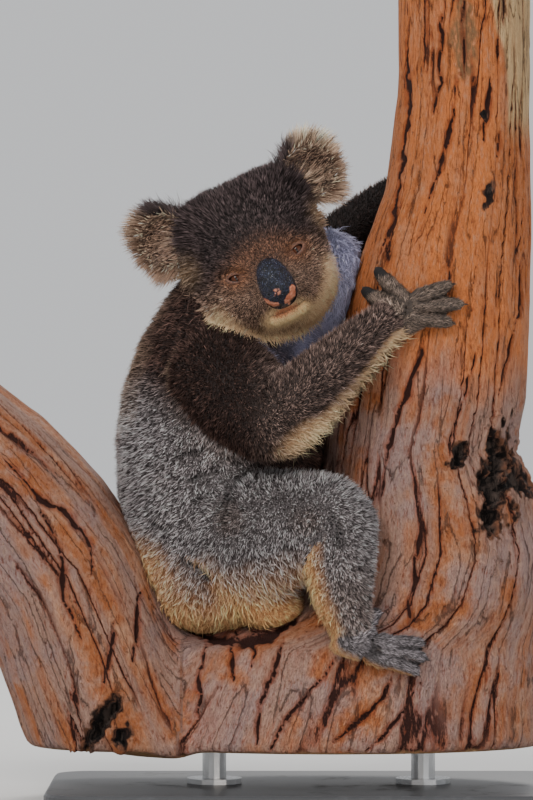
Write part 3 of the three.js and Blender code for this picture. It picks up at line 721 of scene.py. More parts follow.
knot_deep = wood.mix(wood.times(rot, 0.5), (13, 8, 8), (112, 96, 88))
knot_tone = wood.mix(wood.span(knot_line, 0.7, 1.05), knot_deep, knot_rust)
body_wood = wood.mix(wood.span(knot_line, 1.45, 1.15), body_wood, knot_tone)
ring_wave = wood.add("ShaderNodeTexWave", {"wave_type": "RINGS", "rings_direction": "SPHERICAL"},
                     Vector=grain_at, Scale=0.06, Distortion=1.6, Detail=3.0).outputs["Fac"]
sawn = wood.mix(ring_wave, (196, 156, 112), (168, 122, 82))
wood.paint(wood.mix(wood.attribute("sawn"), body_wood, sawn))
relief = wood.minus(wood.plus(wood.times(streak, 0.5), wood.times(mottle, 0.6)), all_dark)
relief = wood.minus(wood.plus(relief, wood.times(fibre, 0.35)), wood.times(fleck, 0.8))
wood.bump(relief, 0.9, 0.0045)

# %% The wood in two pieces
ORANGE_FROM = 380
ORANGE_TO = 600
MOSS_OVAL = ((172, 866), (17, 50))
# The limb's sawn end lies beyond this x.
LIMB_END = -330
CUT_HEIGHT = 330
wood_x, wood_z = wood_points[:, 0], wood_points[:, 2]
height = wood_z + 55 * noise(stretched, 38, 21) + 25 * noise(wood_points, 24, 22)
warm = ramp(height, ORANGE_FROM, ORANGE_TO) * ramp(wood_x, -60, 60)
moss_patch = oval(wood_x, wood_z, *MOSS_OVAL) + 0.3 * noise(wood_points, 10, 31)
moss_patch = (1 - ramp(moss_patch, 0.7, 1.1)) * near_face * 0.8
pale_strip = wood_x - 208 - 0.12 * (912 - wood_z) + 9 * noise(stretched, 14, 33)
pale_strip = ramp(pale_strip, -3, 3) * ramp(wood_z, 740, 790) * ramp(-wood_points[:, 1], -80, -40)
# The pith of each sawn end: the end of the limb, and the trunk's own middle at its top and foot.
limb_pith = np.array([LIMB_LINE[-1][0], 0, LIMB_LINE[-1][1]])
trunk_pith = np.stack([trunk_section(wood_z)[0], np.zeros(len(wood_z)), wood_z], -1)
end_grain = wood_points - np.where(wood_x[:, None] < LIMB_END, limb_pith, trunk_pith)
grain = np.where(on_trunk[:, None] > 0.5, grain_trunk, grain_limb)
grain = np.where(end_faces[:, None] > 0.5, end_grain, grain)
wood_numbers = {
    "warmth": warm, "crack": crack_value, "open": open_share, "fine": fine_value,
    "rift": rift_value, "knot": knot_value, "moss": moss_patch, "pale": pale_strip, "sawn": end_faces,
}
bark = put_mesh("wood_lower", wood_points, wood_faces, numbers=wood_numbers, vectors={"grain": grain})


# A face that closes a cut: it has more corners than the mesh's own, is level, and lies at the cut.
LID_CORNERS = 8
LEVEL = 0.999
AT_CUT = 1e-5


def keep_part(piece, height, keep_above):
    """Cuts the mesh level at a height, keeps one part and closes the cut with a face."""
    whole = bmesh.new()
    whole.from_mesh(piece.data)
    everything = whole.verts[:] + whole.edges[:] + whole.faces[:]
    cut = bmesh.ops.bisect_plane(
        whole, geom=everything, plane_co=(0, 0, height * MM), plane_no=(0, 0, 1),
        clear_inner=keep_above, clear_outer=not keep_above)["geom_cut"]
    rim = [item for item in cut if isinstance(item, bmesh.types.BMEdge)]
    bmesh.ops.holes_fill(whole, edges=rim, sides=0)
    lids = [face for face in whole.faces if len(face.verts) > LID_CORNERS]
    bmesh.ops.triangulate(whole, faces=lids)
    for face in whole.faces:
        off_cut = abs(face.calc_center_median().z - height * MM) > AT_CUT
        face.smooth = off_cut or abs(face.normal.z) < LEVEL
    for edge in rim:
        if edge.is_valid:
            edge.smooth = False
    whole.to_mesh(piece.data)
    whole.free()


bark_upper = bpy.data.objects.new("wood_upper", bark.data.copy())
bpy.context.scene.collection.objects.link(bark_upper)
keep_part(bark, CUT_HEIGHT, False)
keep_part(bark_upper, CUT_HEIGHT, True)
dress(bark, wood, "bark", "perch_trunk", "perch_limb")
dress(bark_upper, wood, "bark", "perch_trunk", "perch_limb")
for item in (bark, bark_upper):
    item.data.calc_loop_triangles()
    print(item.name, len(item.data.loop_triangles), "triangles")

# %% [markdown]
# ## The head's own frame
#
# A head is easiest to shape looking straight at it, so its forms are worked out in its own frame: x
# towards its left side, z up, facing -y. The turn below lays it over to the side as the animal
# holds it. The form is a rounded box with swellings and hollows added along named directions.

# %% Head frame and forms
HEAD_AT = np.array([-54, -62, 617], float)
HEAD_ROLL = math.radians(-25.5)
HEAD_TURN = np.array([
    [math.cos(HEAD_ROLL), 0, math.sin(HEAD_ROLL)],
    [0, 1, 0],
    [-math.sin(HEAD_ROLL), 0, math.cos(HEAD_ROLL)],
])
HEAD_SIZE = np.array([84, 80, 94], float)
HEAD_SQUARE = 2.25
# Where each form points, how far it rises, how wide it spreads.
HEAD_FORMS = [
    ((0, -1, -0.46), 25, 0.4),
    ((0, -0.86, -0.9), -7, 0.3),
    ((0.86, -0.4, -0.5), 7, 0.42),
    ((-0.86, -0.4, -0.5), 7, 0.42),
    ((0.95, -0.12, -0.32), -11, 0.55),
    ((0.5, -1, -0.06), -5, 0.24),
    ((-0.5, -1, -0.06), -5, 0.24),
    ((0, -0.75, 0.75), -4, 0.4),
    ((0.68, 0.1, 1), 15, 0.36),
    ((-0.68, 0.1, 1), 15, 0.36),
]
EYE = {"x": 37.5, "z": -9.5, "radius": 9.0, "sunk": 10.6, "slant": math.radians(20)}
NOSE_FOOT = np.array([0, -100, -34], float)


def from_head(points):
    return points @ HEAD_TURN.T + HEAD_AT


def to_head(points):
    return (points - HEAD_AT) @ HEAD_TURN


def head_reach(ways):
    """How far the coat lies from the head's middle along unit directions."""
    base = (np.abs(ways / HEAD_SIZE) ** HEAD_SQUARE).sum(-1) ** (-1 / HEAD_SQUARE)
    for toward, rise, spread in HEAD_FORMS:
        apart = 2 * (1 - ways @ unit(np.array(toward, float)))
        base = base + rise * np.exp(-apart / spread**2)
    return base


def face_at(x, z):
    """The y of the face at x, z of the head's frame, found by stepping towards it."""
    x, z = np.broadcast_arrays(np.asarray(x, float), np.asarray(z, float))
    y = np.full(x.shape, -HEAD_SIZE[1])
    for _ in range(20):
        reach = head_reach(unit(np.stack([x, y, z], -1)))
        y = -np.sqrt(np.maximum(reach**2 - x**2 - z**2, 1))
    return y


def head_grid(around, along):
    """The head's surface on a grid of turns round the line through its face."""
    from_front = np.linspace(0.02, math.pi - 0.02, along)[:, None]
    ways = ways_round(from_front, turns(around)[None, :])
    return ways * head_reach(ways)[..., None]


EYE_AT = {s: np.array([s * EYE["x"], float(face_at(EYE["x"], EYE["z"])) + EYE["sunk"], EYE["z"]])
          for s in (RIGHT, LEFT)}
print("eye middle", EYE_AT[LEFT].round(1), "muzzle", float(face_at(0, -40)).__round__(1))

# %% [markdown]
# ## Ears
#
# Under its long hair a koala's ear is a round, shallow bowl that faces forwards and a little out.
# It is a disc whose front is hollowed; its rim stays thick enough for the lattice to hold.

# %% Ear bowls
EAR = {"x": 92, "y": 14, "z": 67, "wide": 33, "tall": 33, "cup": 11, "wall": 7.5, "yaw": math.radians(24)}
EAR_TURN = {s: np.array([[math.cos(s * EAR["yaw"]), -math.sin(s * EAR["yaw"]), 0],
                         [math.sin(s * EAR["yaw"]), math.cos(s * EAR["yaw"]), 0], [0, 0, 1]])
            for s in (RIGHT, LEFT)}
EAR_MIDDLE = {s: np.array([s * EAR["x"], EAR["y"], EAR["z"]]) for s in (RIGHT, LEFT)}


def from_ear(points, sign):
    """From an ear's own frame, facing -y, to the head's."""
    return points @ EAR_TURN[sign].T + EAR_MIDDLE[sign]


def to_ear(points, sign):
    return (to_head(points) - EAR_MIDDLE[sign]) @ EAR_TURN[sign]


def ear_bowl(sign, around=48, along=15):
    """Rings from the cup's middle out over the rim to the middle of the back."""
    share = np.linspace(0, math.pi, 2 * along)[1:-1, None]
    turn = turns(around)[None, :]
    out = np.sin(share)
    cup = EAR["cup"] * (1 - out**2)
    y = np.where(share < math.pi / 2, cup - 1.5, cup + EAR["wall"] * np.abs(np.cos(share)) ** 0.5)
    rings = np.stack([EAR["wide"] * out * np.cos(turn), y + 0 * turn, EAR["tall"] * out * np.sin(turn)], -1)
    points, faces = closed_tube(rings)
    return from_head(from_ear(points, sign)), faces


# %% [markdown]
# ## One skin
#
# The coat's outside is what the solids show, so the skin lies inside them by the depth of the coat,
# which is deepest on the back and thinnest on the hands. The fields of all the lengths are joined,
# measured again as one body, softened so that folds stay but facets and gaps go, and then shrunk.
# The same pass keeps, at each lattice point, which length is nearest and which way its hair lies.

# %% Depth and lie of the coat
# For each length: the coat's depth, and the way its hair lies. The left side mirrors y.
LENGTHS = {
    "torso": (7.4, (-0.12, 0, -1)),
    "neck": (7.2, (-0.45, 0, -0.9)),
    "thigh": (7.0, (0.75, -0.2, -0.62)),
    "shin": (5.2, (0.15, -0.05, -1)),
    "foot": (0.7, (0.95, 0, -0.3)),
}
ARMS = {
    "arm_upper_right": (6.8, (0.62, -0.45, -0.62)),
    "forearm_right": (5.4, (0.75, 0.0, 0.62)),
    "hand_right": (0.6, (0.95, 0, 0.25)),
    "arm_upper_left": (6.8, (0.62, 0.3, 0.6)),
    "forearm_left": (5.4, (0.8, 0.0, 0.55)),
    "hand_left": (0.6, (0.9, 0, 0.3)),
}
FLESH = dict(ARMS)
for name in ("torso", "neck"):
    FLESH[name] = LENGTHS[name]
for name in ("thigh", "shin", "foot"):
    deep, (x, y, z) = LENGTHS[name]
    for side, sign in SIDES.items():
        FLESH[f"{name}_{side}"] = (deep, (x, -sign * y, z))
HEAD_DEPTH = 5.0
HEAD_PARTS = ["head", "ear_right", "ear_left"]
OWNERS = [*FLESH, *HEAD_PARTS]
OWNER = {name: i for i, name in enumerate(OWNERS)}

SKIN_STEP = 3.35
SKIN_MARGIN = 24
# How far past a length its depth and its lie still count, in millimetres.
LIE_REACH = 7.0
skin_low, skin_high = box_of(*OWNERS)
skin_room = Lattice(skin_low - SKIN_MARGIN, skin_high + SKIN_MARGIN, SKIN_STEP)


def split_quads(faces):
    return np.concatenate([part for f in faces for part in
                           ([f[:, [0, 1, 2]], f[:, [0, 2, 3]]] if f.shape[1] == 4 else [f])])


def gather(shapes):
    """Joins the fields of several shapes; also the nearest shape, the depth and the lie."""
    nearest = np.full(skin_room.shape, BAND * SKIN_STEP, np.float32)
    owner = np.zeros(skin_room.shape, np.uint8)
    total = np.zeros(skin_room.shape, np.float32)
    deep = np.zeros(skin_room.shape, np.float32)
    lie = np.zeros((3, *skin_room.shape), np.float32)
    for name, (points, triangles, depth_here, way) in shapes.items():
        field = skin_room.distance(points, triangles)
        owner[field < nearest] = OWNER[name]
        nearest = np.minimum(nearest, field)
        weight = np.exp(-np.maximum(field, 0) / LIE_REACH)
        total += weight
        deep += weight * depth_here
        for axis in range(3):
            lie[axis] += weight * unit(np.array(way, float))[axis]
    return nearest, owner, deep / total, lie / total


head_points, head_faces = closed_tube(head_grid(96, 64))
shapes = {name: (*node_shape(name), *facts) for name, facts in FLESH.items()}
shapes["head"] = (from_head(head_points), split_quads(head_faces), HEAD_DEPTH, (-0.4, 0, -0.3))
HAIRLINE = 0.8
# Loose skin that hangs under each thigh onto the wood: its middle on the right side and its half-sizes.
LOOSE = {"at": (-48, -92, 229), "size": (42, 24, 30), "melt": 12}


def oval_field(at, size):
    """Distance from an oval body: the radius scaled by its half-sizes, less one, times the least."""
    total = np.zeros((1, 1, 1))
    for axis in range(3):
        place = (skin_room.first[axis] + np.arange(skin_room.shape[axis])) * skin_room.step
        row = [-1 if a == axis else 1 for a in range(3)]
        total = total + (((place - at[axis]) / size[axis]) ** 2).reshape(row)
    return ((np.sqrt(total) - 1) * min(size)).astype(np.float32)


body_field, owner_field, depth_field, lie_field = gather(shapes)
for sign in (RIGHT, LEFT):
    x, y, z = LOOSE["at"]
    body_field = melt(body_field, oval_field((x, -sign * y, z), LOOSE["size"]), LOOSE["melt"])
body_points, body_faces = skin_room.surface(body_field - HAIRLINE)
whole_field = skin_room.distance(body_points, split_quads(body_faces)) + HAIRLINE
BODY_SOFT, PAW_SOFT = 1.25, 0.35
PAW_DEPTH, BODY_DEPTH = 1.6, 4.0
on_body = ramp(depth_field, PAW_DEPTH, BODY_DEPTH).astype(np.float32)
coat_field = soften(whole_field, PAW_SOFT) * (1 - on_body) + soften(whole_field, BODY_SOFT) * on_body
wood_gap = np.minimum(skin_room.distance(*node_shape("perch_trunk")),
                      skin_room.distance(*node_shape("perch_limb")))
# The coat is pressed to this share of its depth on the wood, and is free this far from it.
PRESSED = 0.25
FREE_FROM = 26
depth_field *= (PRESSED + (1 - PRESSED) * ramp(wood_gap, 0, FREE_FROM)).astype(np.float32)
skin_field = coat_field + depth_field
EAR_MELT = 7
EAR_NEAR = 8
for side, sign in SIDES.items():
    ear_points, ear_faces = ear_bowl(sign)
    ear_field = skin_room.distance(ear_points, split_quads(outward(ear_points, ear_faces)))
    owner_field[(ear_field < skin_field) & (ear_field < EAR_NEAR)] = OWNER[f"ear_{side}"]
    skin_field = melt(skin_field, ear_field, EAR_MELT)
skin_points, skin_faces = skin_room.surface(skin_field)
print("skin:", len(skin_points), "points")


def owner_at(points):
    """Which length of the body a point of the skin belongs to."""
    place = np.clip(np.rint(points / skin_room.step - skin_room.first), 0, np.array(skin_room.shape) - 1)
    i, j, k = place.astype(int).T
    return owner_field[i, j, k]


# %% A finer mesh where the face is
FACE_CUTS = 2
FACE_BOX = {"x": 56, "top": 22, "bottom": -84, "front": -46}


def finer_face(points, faces):
    """Splits the faces of the skin that lie on the front of the head."""
    whole = bmesh.new()
    verts = [whole.verts.new(p) for p in points]
    for group in faces:
        for f in group:
            whole.faces.new([verts[i] for i in f])
    whole.verts.index_update()
    local = to_head(points)
    inside = ((np.abs(local[:, 0]) < FACE_BOX["x"]) & (local[:, 2] < FACE_BOX["top"])
              & (local[:, 2] > FACE_BOX["bottom"]) & (local[:, 1] < FACE_BOX["front"]))
    edges = [e for e in whole.edges if all(inside[v.index] for v in e.verts)]
    bmesh.ops.subdivide_edges(whole, edges=edges, cuts=FACE_CUTS, use_grid_fill=True, smooth=0.0)
    bmesh.ops.triangulate(whole, faces=[f for f in whole.faces if len(f.verts) > 4])
    whole.verts.index_update()
    new_points = np.array([v.co for v in whole.verts])
    quads = np.array([[v.index for v in f.verts] for f in whole.faces if len(f.verts) == 4])
    triangles = np.array([[v.index for v in f.verts] for f in whole.faces if len(f.verts) == 3])
    whole.free()
    return new_points, [quads, triangles]


skin_points, skin_faces = finer_face(skin_points, skin_faces)
print("with the face finer:", len(skin_points), "points")

# %% [markdown]
# ## Folds of the face
#
# The solid head has its main forms. The skin adds what the short fur of a face lets through: the
# hollow that each eye lies in, the brow over it and the pouch under it, the groove beside the nose,
# the pads of the muzzle, the line of the mouth and the soft lower lip.


# %% Folds of the face
MOUTH = {"z": -66, "half": 22, "turn": 3.0}


def mouth_line(local):
    """Height over the line where the lips meet, which turns up at its corners."""
    return local[:, 2] - (MOUTH["z"] + MOUTH["turn"] * (local[:, 0] / MOUTH["half"]) ** 2)


def eye_place(local, sign):
    """Places in the slanted frame of an eye's opening: along it, away from the nose, and up."""
    return slanted((local[:, 0] - sign * EYE["x"]) * sign, local[:, 2] - EYE["z"], EYE["slant"])


def eye_distance(local, sign):
    """Distance from an eye, in millimetres above and below it; the opening counts as round."""
    along, up = eye_place(local, sign)
    return np.hypot(along / 1.35, up)


def face_relief(local):
    """How far the skin stands out, in millimetres, from the head's plain form: bells over the
    distance from the eyes, the nose and the mouth, added up."""
    x, y, z = local.T
    total = 2.4 * (1 - ramp(oval(x, z, (0, -30), (1.1, 1)), 52, 78))
    for sign in (RIGHT, LEFT):
        up = eye_place(local, sign)[1]
        ring = eye_distance(local, sign)
        hollow, brow = -2.0 * bell(ring, 10), 2.4 * bell(ring, 4.5, 15) * ramp(up, 2, 12)
        pouch = 1.2 * bell(ring, 3, 13.5) * ramp(-up, 2, 10)
        fold = -1.4 * bell(ring, 2.2, 18.5) * ramp(-up, 0, 10)
        total += hollow + brow + pouch + fold
    total += 4.0 * bell(oval(np.abs(x), z, (31, -48), (14, 15)), 1)
    total += -2.2 * bell(oval(x, z, (0, -34), (24.5, 32)), 0.14, 1.0)
    from_mouth = mouth_line(local)
    there = 1 - ramp(np.abs(x), MOUTH["half"] - 3, MOUTH["half"] + 3)
    total += there * (3.0 * bell(from_mouth, 4.5, -6.5) - 3.4 * bell(from_mouth, 1.5))
    return total * ramp(-y, 30, 55)


# Creases of the loose skin on the flank and hip: points x, z along each, depth, half-width.
CREASES = [
    ([(-136, 367), (-123, 373), (-106, 376)], 2.6, 3.2),
    ([(-131, 345), (-120, 350), (-108, 352)], 2.2, 3.0),
    ([(-83, 368), (-88, 356), (-90, 343), (-94, 331), (-99, 319)], 3.0, 3.6),
    ([(-176, 319), (-164, 311), (-159, 309)], 2.2, 3.0),
    ([(-142, 275), (-131, 272), (-120, 268), (-116, 258)], 3.4, 3.4),
    ([(-150, 392), (-138, 399), (-121, 401)], 1.6, 3.0),
    ([(-105, 330), (-90, 352), (-72, 372)], 2.4, 3.6),
    ([(22, 326), (28, 312), (32, 298)], 1.2, 6.0),
]


def crease_at(points):
    """How near a crease is, 0 to 1, its depth there, and the way out of it in x, z."""
    near, deep = np.zeros(len(points)), np.zeros(len(points))
    out = np.zeros((len(points), 3))
    flat = points[:, [0, 2]] + 1.6 * noise(points, 13, 55)[:, None]
    flank = ramp(np.abs(points[:, 1]), 50, 75)
    for line, depth_here, half in CREASES:
        away, _, off, _ = line_distance(flat, line)
        share = bell(away, half) * flank
        better = share > near
        near = np.where(better, share, near)
        deep = np.where(better, share * depth_here, deep)
        out[better] = unit(off[better])[:, [0, 0, 1]] * np.array([1, 0, 1])
    return near, deep, out


# %% [markdown]
# ### Digits
#
# The digits are short lines. The nearest line gives a digit's crest. Where two lines are equally
# near is the gap between two digits, and there the skin sinks in.

# %% Digits, and all the folds together
# The middle line of each digit, from its root to its tip, as x, z.
LEFT_FOOT_SHIFT = 6
TOES = [[(52, 190), (64, 208), (72, 220)], [(78, 186), (102, 188), (120, 187)],
        [(80, 178), (106, 174), (122, 170)], [(78, 170), (100, 162), (114, 155)]]
DIGITS = {
    "hand_right": [[(100, 558), (76, 568), (62, 580)], [(106, 568), (86, 588), (76, 602)],
                   [(112, 568), (136, 578), (152, 585)], [(114, 560), (142, 562), (164, 564)],
                   [(112, 550), (136, 546), (152, 543)]],
    "hand_left": [[(154, 734), (140, 748), (130, 758)], [(164, 738), (156, 756), (152, 770)],
                  [(172, 738), (193, 748), (208, 754)], [(174, 730), (200, 732), (219, 734)],
                  [(170, 722), (191, 716), (207, 712)]],
    "foot_right": TOES,
    "foot_left": [[(x + LEFT_FOOT_SHIFT, z) for x, z in toe] for toe in TOES],
}


def digits_at(points, owner):
    """How near a digit's middle line is, and how near the gap between two digits, 0 to 1 each."""
    crest, gap = np.zeros(len(points)), np.zeros(len(points))
    for kind, lines in DIGITS.items():
        mine = owner == OWNER[kind]
        away = np.sort([line_distance(points[mine][:, [0, 2]], line)[0] for line in lines], axis=0)
        crest[mine] = bell(away[0], 3.5)
        gap[mine] = bell(away[1] - away[0], 4) * ramp(away[0], 3.2, 6.2)
    return crest, gap


skin_local = to_head(skin_points)
on_front = ramp(-skin_local[:, 1], 20, 40) * (np.abs(skin_local[:, 0]) < 80)
on_front *= (skin_local[:, 2] > -110) & (skin_local[:, 2] < 70)
relief_here = face_relief(skin_local) * on_front - crease_at(skin_points)[1]
relief_here -= 4.5 * digits_at(skin_points, owner_at(skin_points))[1]
skin_normals = point_normals(skin_points, skin_faces)
skin_points = skin_points + skin_normals * relief_here[:, None]
skin_normals = point_normals(skin_points, skin_faces)
print("folds from", relief_here.min().round(1), "to", relief_here.max().round(1), "mm")

# %% [markdown]
# ## The markings
#
# A koala's coat is grey-brown, dark at the roots and pale at the tips, which gives the salt and
# pepper look. It is warmest and darkest on the shoulders and crown, bluer and lighter on the back
# and thigh, cream under the rump, on the heel and under the arm, and white on the chest. One function
# gives these colours at any point, so that the skin and the coat over it always agree.

# %% Tones of the coat
# For each name: the colour near the root and the colour at the tip.
TONES = {name: [linear(*tone) for tone in pair] for name, pair in {
    "flank": ((38, 31, 32), (204, 196, 198)),
    "back": ((10, 4, 4), (92, 70, 63)),
    "arm": ((20, 12, 10), (156, 134, 125)),
    "crown": ((5, 3, 3), (80, 68, 68)),
    "cheek": ((26, 16, 11), (182, 148, 128)),
    "brow": ((40, 22, 14), (176, 125, 94)),
    "lid": ((84, 48, 30), (168, 112, 78)),
    "cream": ((172, 112, 66), (246, 194, 138)),
    "chin": ((230, 182, 128), (255, 228, 178)),
    "ruff": ((200, 154, 114), (254, 222, 178)),
    # The chest and inner arms are white; the blue cast of this tone is painted, the look of white fur in
    # shade lit by the sky.
    "white": ((144, 146, 176), (199, 202, 238)),
    "hand": ((20, 16, 14), (156, 137, 124)),
    "foot": ((22, 18, 18), (170, 162, 166)),
    "black": ((7, 4, 5), (36, 31, 32)),
    "tuft": ((66, 43, 32), (242, 212, 182)),
    "cup": ((36, 23, 20), (152, 124, 106)),
    "lip": ((214, 132, 92), (240, 164, 122)),
    "pad": ((6, 6, 8), (12, 12, 15)),
}.items()}
# The chest, which rises between the arms beside the head: its middle and half-sizes.
CHEST = {"at": np.array([18, 2, 592]), "size": np.array([50, 46, 68])}
# Bare black pads under the tips of the two thumbs of the near hand: x, z, radius.
PADS = [(60, 583, 13), (77, 603, 11.5)]
# Ovals on the face, as middle and half-sizes in x, z: the tones of the chin and lip, the chin's hair.
CHIN_TONE = ((-2, -70), (27, 13))
LIP_TONE = ((-3, -64.5), (17, 6))
CHIN_HAIR = ((-2, -69), (26, 11.5))
JAW_HEIGHT = -18


def blend(a, b, share):
    return a + (b - a) * np.clip(share, 0, 1)[:, None]


def near_pad(points):
    """1 on the bare pads of the thumbs, 0 away from them."""
    total = np.zeros(len(points))
    for x, z, radius in PADS:
        away = np.hypot(points[:, 0] - x, points[:, 2] - z)
        total = np.maximum(total, (1 - ramp(away, radius - 3, radius)) * (points[:, 1] < 0))
    return total


def nose_distance(local, flat):
    """Distance from the nose's foot, of which the part into the head counts by a share."""
    return np.linalg.norm((local - NOSE_FOOT) * np.array([1, flat, 1]), axis=1)


def chest_distance(points):
    """Distance from the chest's middle as a share of its half-sizes."""
    return np.linalg.norm((points - CHEST["at"]) / CHEST["size"], axis=1)


def jaw_distance(local):
    """Distance from the middle of the round outline of cheeks and jaw."""
    return np.hypot(local[:, 0], local[:, 2] - JAW_HEIGHT)


def back_of_ear(normals, sign):
    """How far a normal turns towards the back of an ear."""
    return (normals @ HEAD_TURN @ EAR_TURN[sign])[:, 1]


# %% Colours of the coat by place
def temple_at(local):
    """How near a spot is to the tuft of hair at each temple, 0 to 1: a bell in x and one in z."""
    x, z = local[:, 0], local[:, 2]
    middle = np.where(x > 0, 14, 22)
    return np.exp(-(((np.abs(x) - 84) / 12) ** 2) - ((z - middle) / 16) ** 2)


def body_shares(points, normals, owned, wave):
    """Which tone covers a point of the body, and how far, as rows of (tone, share) laid in turn."""
    x, y, z = points.T
    under, behind = -normals[:, 2], -normals[:, 0]
    inward = -np.sign(y) * normals[:, 1]
    dark_back = ramp(z + 12 * wave + 0.25 * np.maximum(x + 180, 0), 420, 498)
    # Painted shade: the dark back tone is laid on the pale belly where the near arm shades it, between arm
    # and thigh.
    underarm_shade = ramp(x, -95, -45) * ramp(z, 352, 384)
    heel = ramp(0.9 * behind + 0.5 * under + 0.1 * wave, 0.15, 0.7)
    sleeve = ramp(under + 0.25 * normals[:, 0] + 0.1 * wave, 0.45, 0.8)
    rump = ramp(under + 0.5 * behind + 0.12 * wave, 0.42, 0.95) * ramp(-z, -345, -285)
    seat = ramp(-z + 16 * wave - 0.7 * np.clip(x + 190, 0, 90), -320, -235)
    belly = ramp(normals[:, 0] + 0.1 * wave, 0.35, 0.8) * ramp(z, 200, 260)
    chest = chest_distance(points) + 0.06 * wave
    back_tone = ramp(-x, 20, 85)
    return [
        ("cheek", 0.35 * ramp(wave, 0.05, 0.6) * owned("torso", "thigh")),
        ("back", dark_back * owned("torso", "neck")),
        ("tuft", 0.3 * ramp(behind, 0.7, 1.0) * ramp(z, 400, 450) * owned("torso", "neck")),
        ("arm", owned("forearm", "hand_", "arm_upper")),
        ("back", back_tone * owned("arm_upper")),
        ("cream", 0.8 * rump * owned("torso", "thigh")),
        ("cream", 0.95 * seat * owned("torso", "thigh") * ramp(-x, 0, 20)),
        ("cream", 0.9 * ramp(-z, -254, -216) * ramp(x, -110, -70) * owned("torso", "thigh")),
        ("back", 0.45 * owned("forearm_right")),
        ("cheek", 0.45 * ramp(-z, -310, -220) * owned("shin")),
        ("cream", 0.9 * heel * owned("shin", "foot")),
        ("ruff", 0.95 * sleeve * ramp(x, -50, -15) * owned("forearm_right", "arm_upper_right")),
        ("cream", 0.85 * ramp(inward, 0.2, 0.7) * owned("thigh", "shin")),
        # Painted shade: the far arm is near-black on its side that faces -y, where it lies in shade.
        ("black", 0.9 * ramp(-normals[:, 1], -0.3, 0.3) * owned("arm_upper_left", "forearm_left")),
        ("white", ramp(inward + 0.2 * under, 0.75, 0.95) * owned("forearm_right")),
        ("white", 0.95 * belly * ramp(z, 430, 500) * owned("torso", "neck")),
        ("cream", 0.6 * belly * ramp(-z, -340, -300) * owned("torso")),
        # Painted shade under the near arm.
        ("back", underarm_shade * ramp(-z, -452, -430) * owned("torso")),
        ("white", (1 - ramp(chest, 0.98, 1.2)) * owned("torso", "neck")),
        ("hand", owned("hand_")),
        ("foot", owned("foot_") * (1 - heel)),
        ("pad", near_pad(points) * owned("hand_")),
    ]


def face_shares(local, wave):
    """The same for the head, in its own frame."""
    x, y, z = local.T
    front = ramp(-y, 20, 50)
    from_nose = nose_distance(local, 0.5)
    rows = [
        ("cheek", ramp(-z + 8 * wave, -8, 30)),
        ("brow", 0.6 * bell(from_nose, 16, 42) * ramp(z, -40, 0)),
    ]
    for sign in (RIGHT, LEFT):
        to_eye = eye_distance(local, sign)
        rows += [("brow", 0.8 * bell(to_eye, 12)), ("lid", 0.75 * bell(to_eye, 7.5))]
    fringe = ramp(jaw_distance(local) + 3 * wave + 7 * ramp(x, 0, 30), 61, 73) * ramp(-z, 22, 42)
    chin = oval(x, z, *CHIN_TONE)
    lip = oval(x, z, *LIP_TONE)
    rows += [
        ("ruff", 0.92 * fringe),
        ("ruff", np.where(x > 0, 0.7, 0.35) * temple_at(local)),
        ("chin", (1 - ramp(chin + 0.08 * wave, 0.65, 1.4)) * front),
        ("lip", (1 - ramp(lip, 0.7, 1.1)) * ramp(-y, 40, 60)),
        ("black", 0.8 * bell(mouth_line(local), 1.2) * (1 - ramp(np.abs(x), 18, 25)) * front),
        ("white", 0.6 * ramp(x - 0.2 * z, 70, 82) * ramp(-z, 8, 30)),
        ("crown", ramp(y, 20, 50)),
    ]
    return rows


def markings(points, normals, owner):
    """Root and tip colours at points: named tones laid over one another by place and facing."""
    wave = noise(points, 46, 51)
    local = to_head(points)

    def owned(*names):
        return np.isin(owner, [i for n, i in OWNER.items() if n.startswith(names)]).astype(float)

    rows = body_shares(points, normals, owned, wave)
    rows.append(("crown", owned("head", "ear_")))
    rows += [(tone, share * owned("head")) for tone, share in face_shares(local, wave)]
    for side, sign in SIDES.items():
        ear = to_ear(points, sign)
        rim = oval(ear[:, 0], ear[:, 2], (0, 0), (EAR["wide"], EAR["tall"]))
        rows.append(("cup", ramp(-back_of_ear(normals, sign), -0.2, 0.5) * owned(f"ear_{side}")))
        rows.append(("tuft", 0.7 * ramp(rim, 0.7, 0.95) * owned(f"ear_{side}")))
    made = []
    for k in (0, 1):
        colour = np.tile(TONES["flank"][k], (len(points), 1))
        for tone, share in rows:
            colour = blend(colour, TONES[tone][k], share)
        made.append(colour)
    return made


def fold_dark(points, normals):
    """Light lost in folds, 0 to 1: how much of the body lies in front of the skin, by its field."""
    lost = np.zeros(len(points))
    for reach, weight in ((10, 0.45), (20, 0.3), (32, 0.25)):
        gap = skin_room.read(skin_field, points + normals * reach)
        lost += weight * (1 - np.clip(gap / (0.8 * reach), 0, 1))
    return lost


# %% The skin and its finish
UNDERCOAT_SHARE = 0.16
# How much light folds take away: the strength of the painted shade in the colours of skin and coat.
PAINTED_FOLD_SHADE = 0.62
skin_root, skin_tip = markings(skin_points, skin_normals, owner_at(skin_points))
skin_colour = skin_root + (skin_tip - skin_root) * UNDERCOAT_SHARE
# Painted shade: the skin is darker where folds of the body shade it.
skin_colour *= (1 - PAINTED_FOLD_SHADE * fold_dark(skin_points, skin_normals))[:, None]
skin_finish = Finish("skin", Roughness=0.85)
skin_speck = skin_finish.noise(skin_finish.place(), 420, 3.0)
skin_finish.paint(skin_finish.mix(skin_finish.span(skin_speck, 0.4, 0.65, 0.0, 0.5),
                                  skin_finish.attribute("coat", "Color"), (30, 22, 20)))
skin_finish.bump(skin_speck, 0.6, 0.0012)
skin = put_mesh("skin", skin_points, skin_faces, colours={"coat": skin_colour})
dress(skin, skin_finish, "coat", *OWNERS)
print("skin triangles", sum(len(f) * (f.shape[1] - 2) for f in skin_faces))

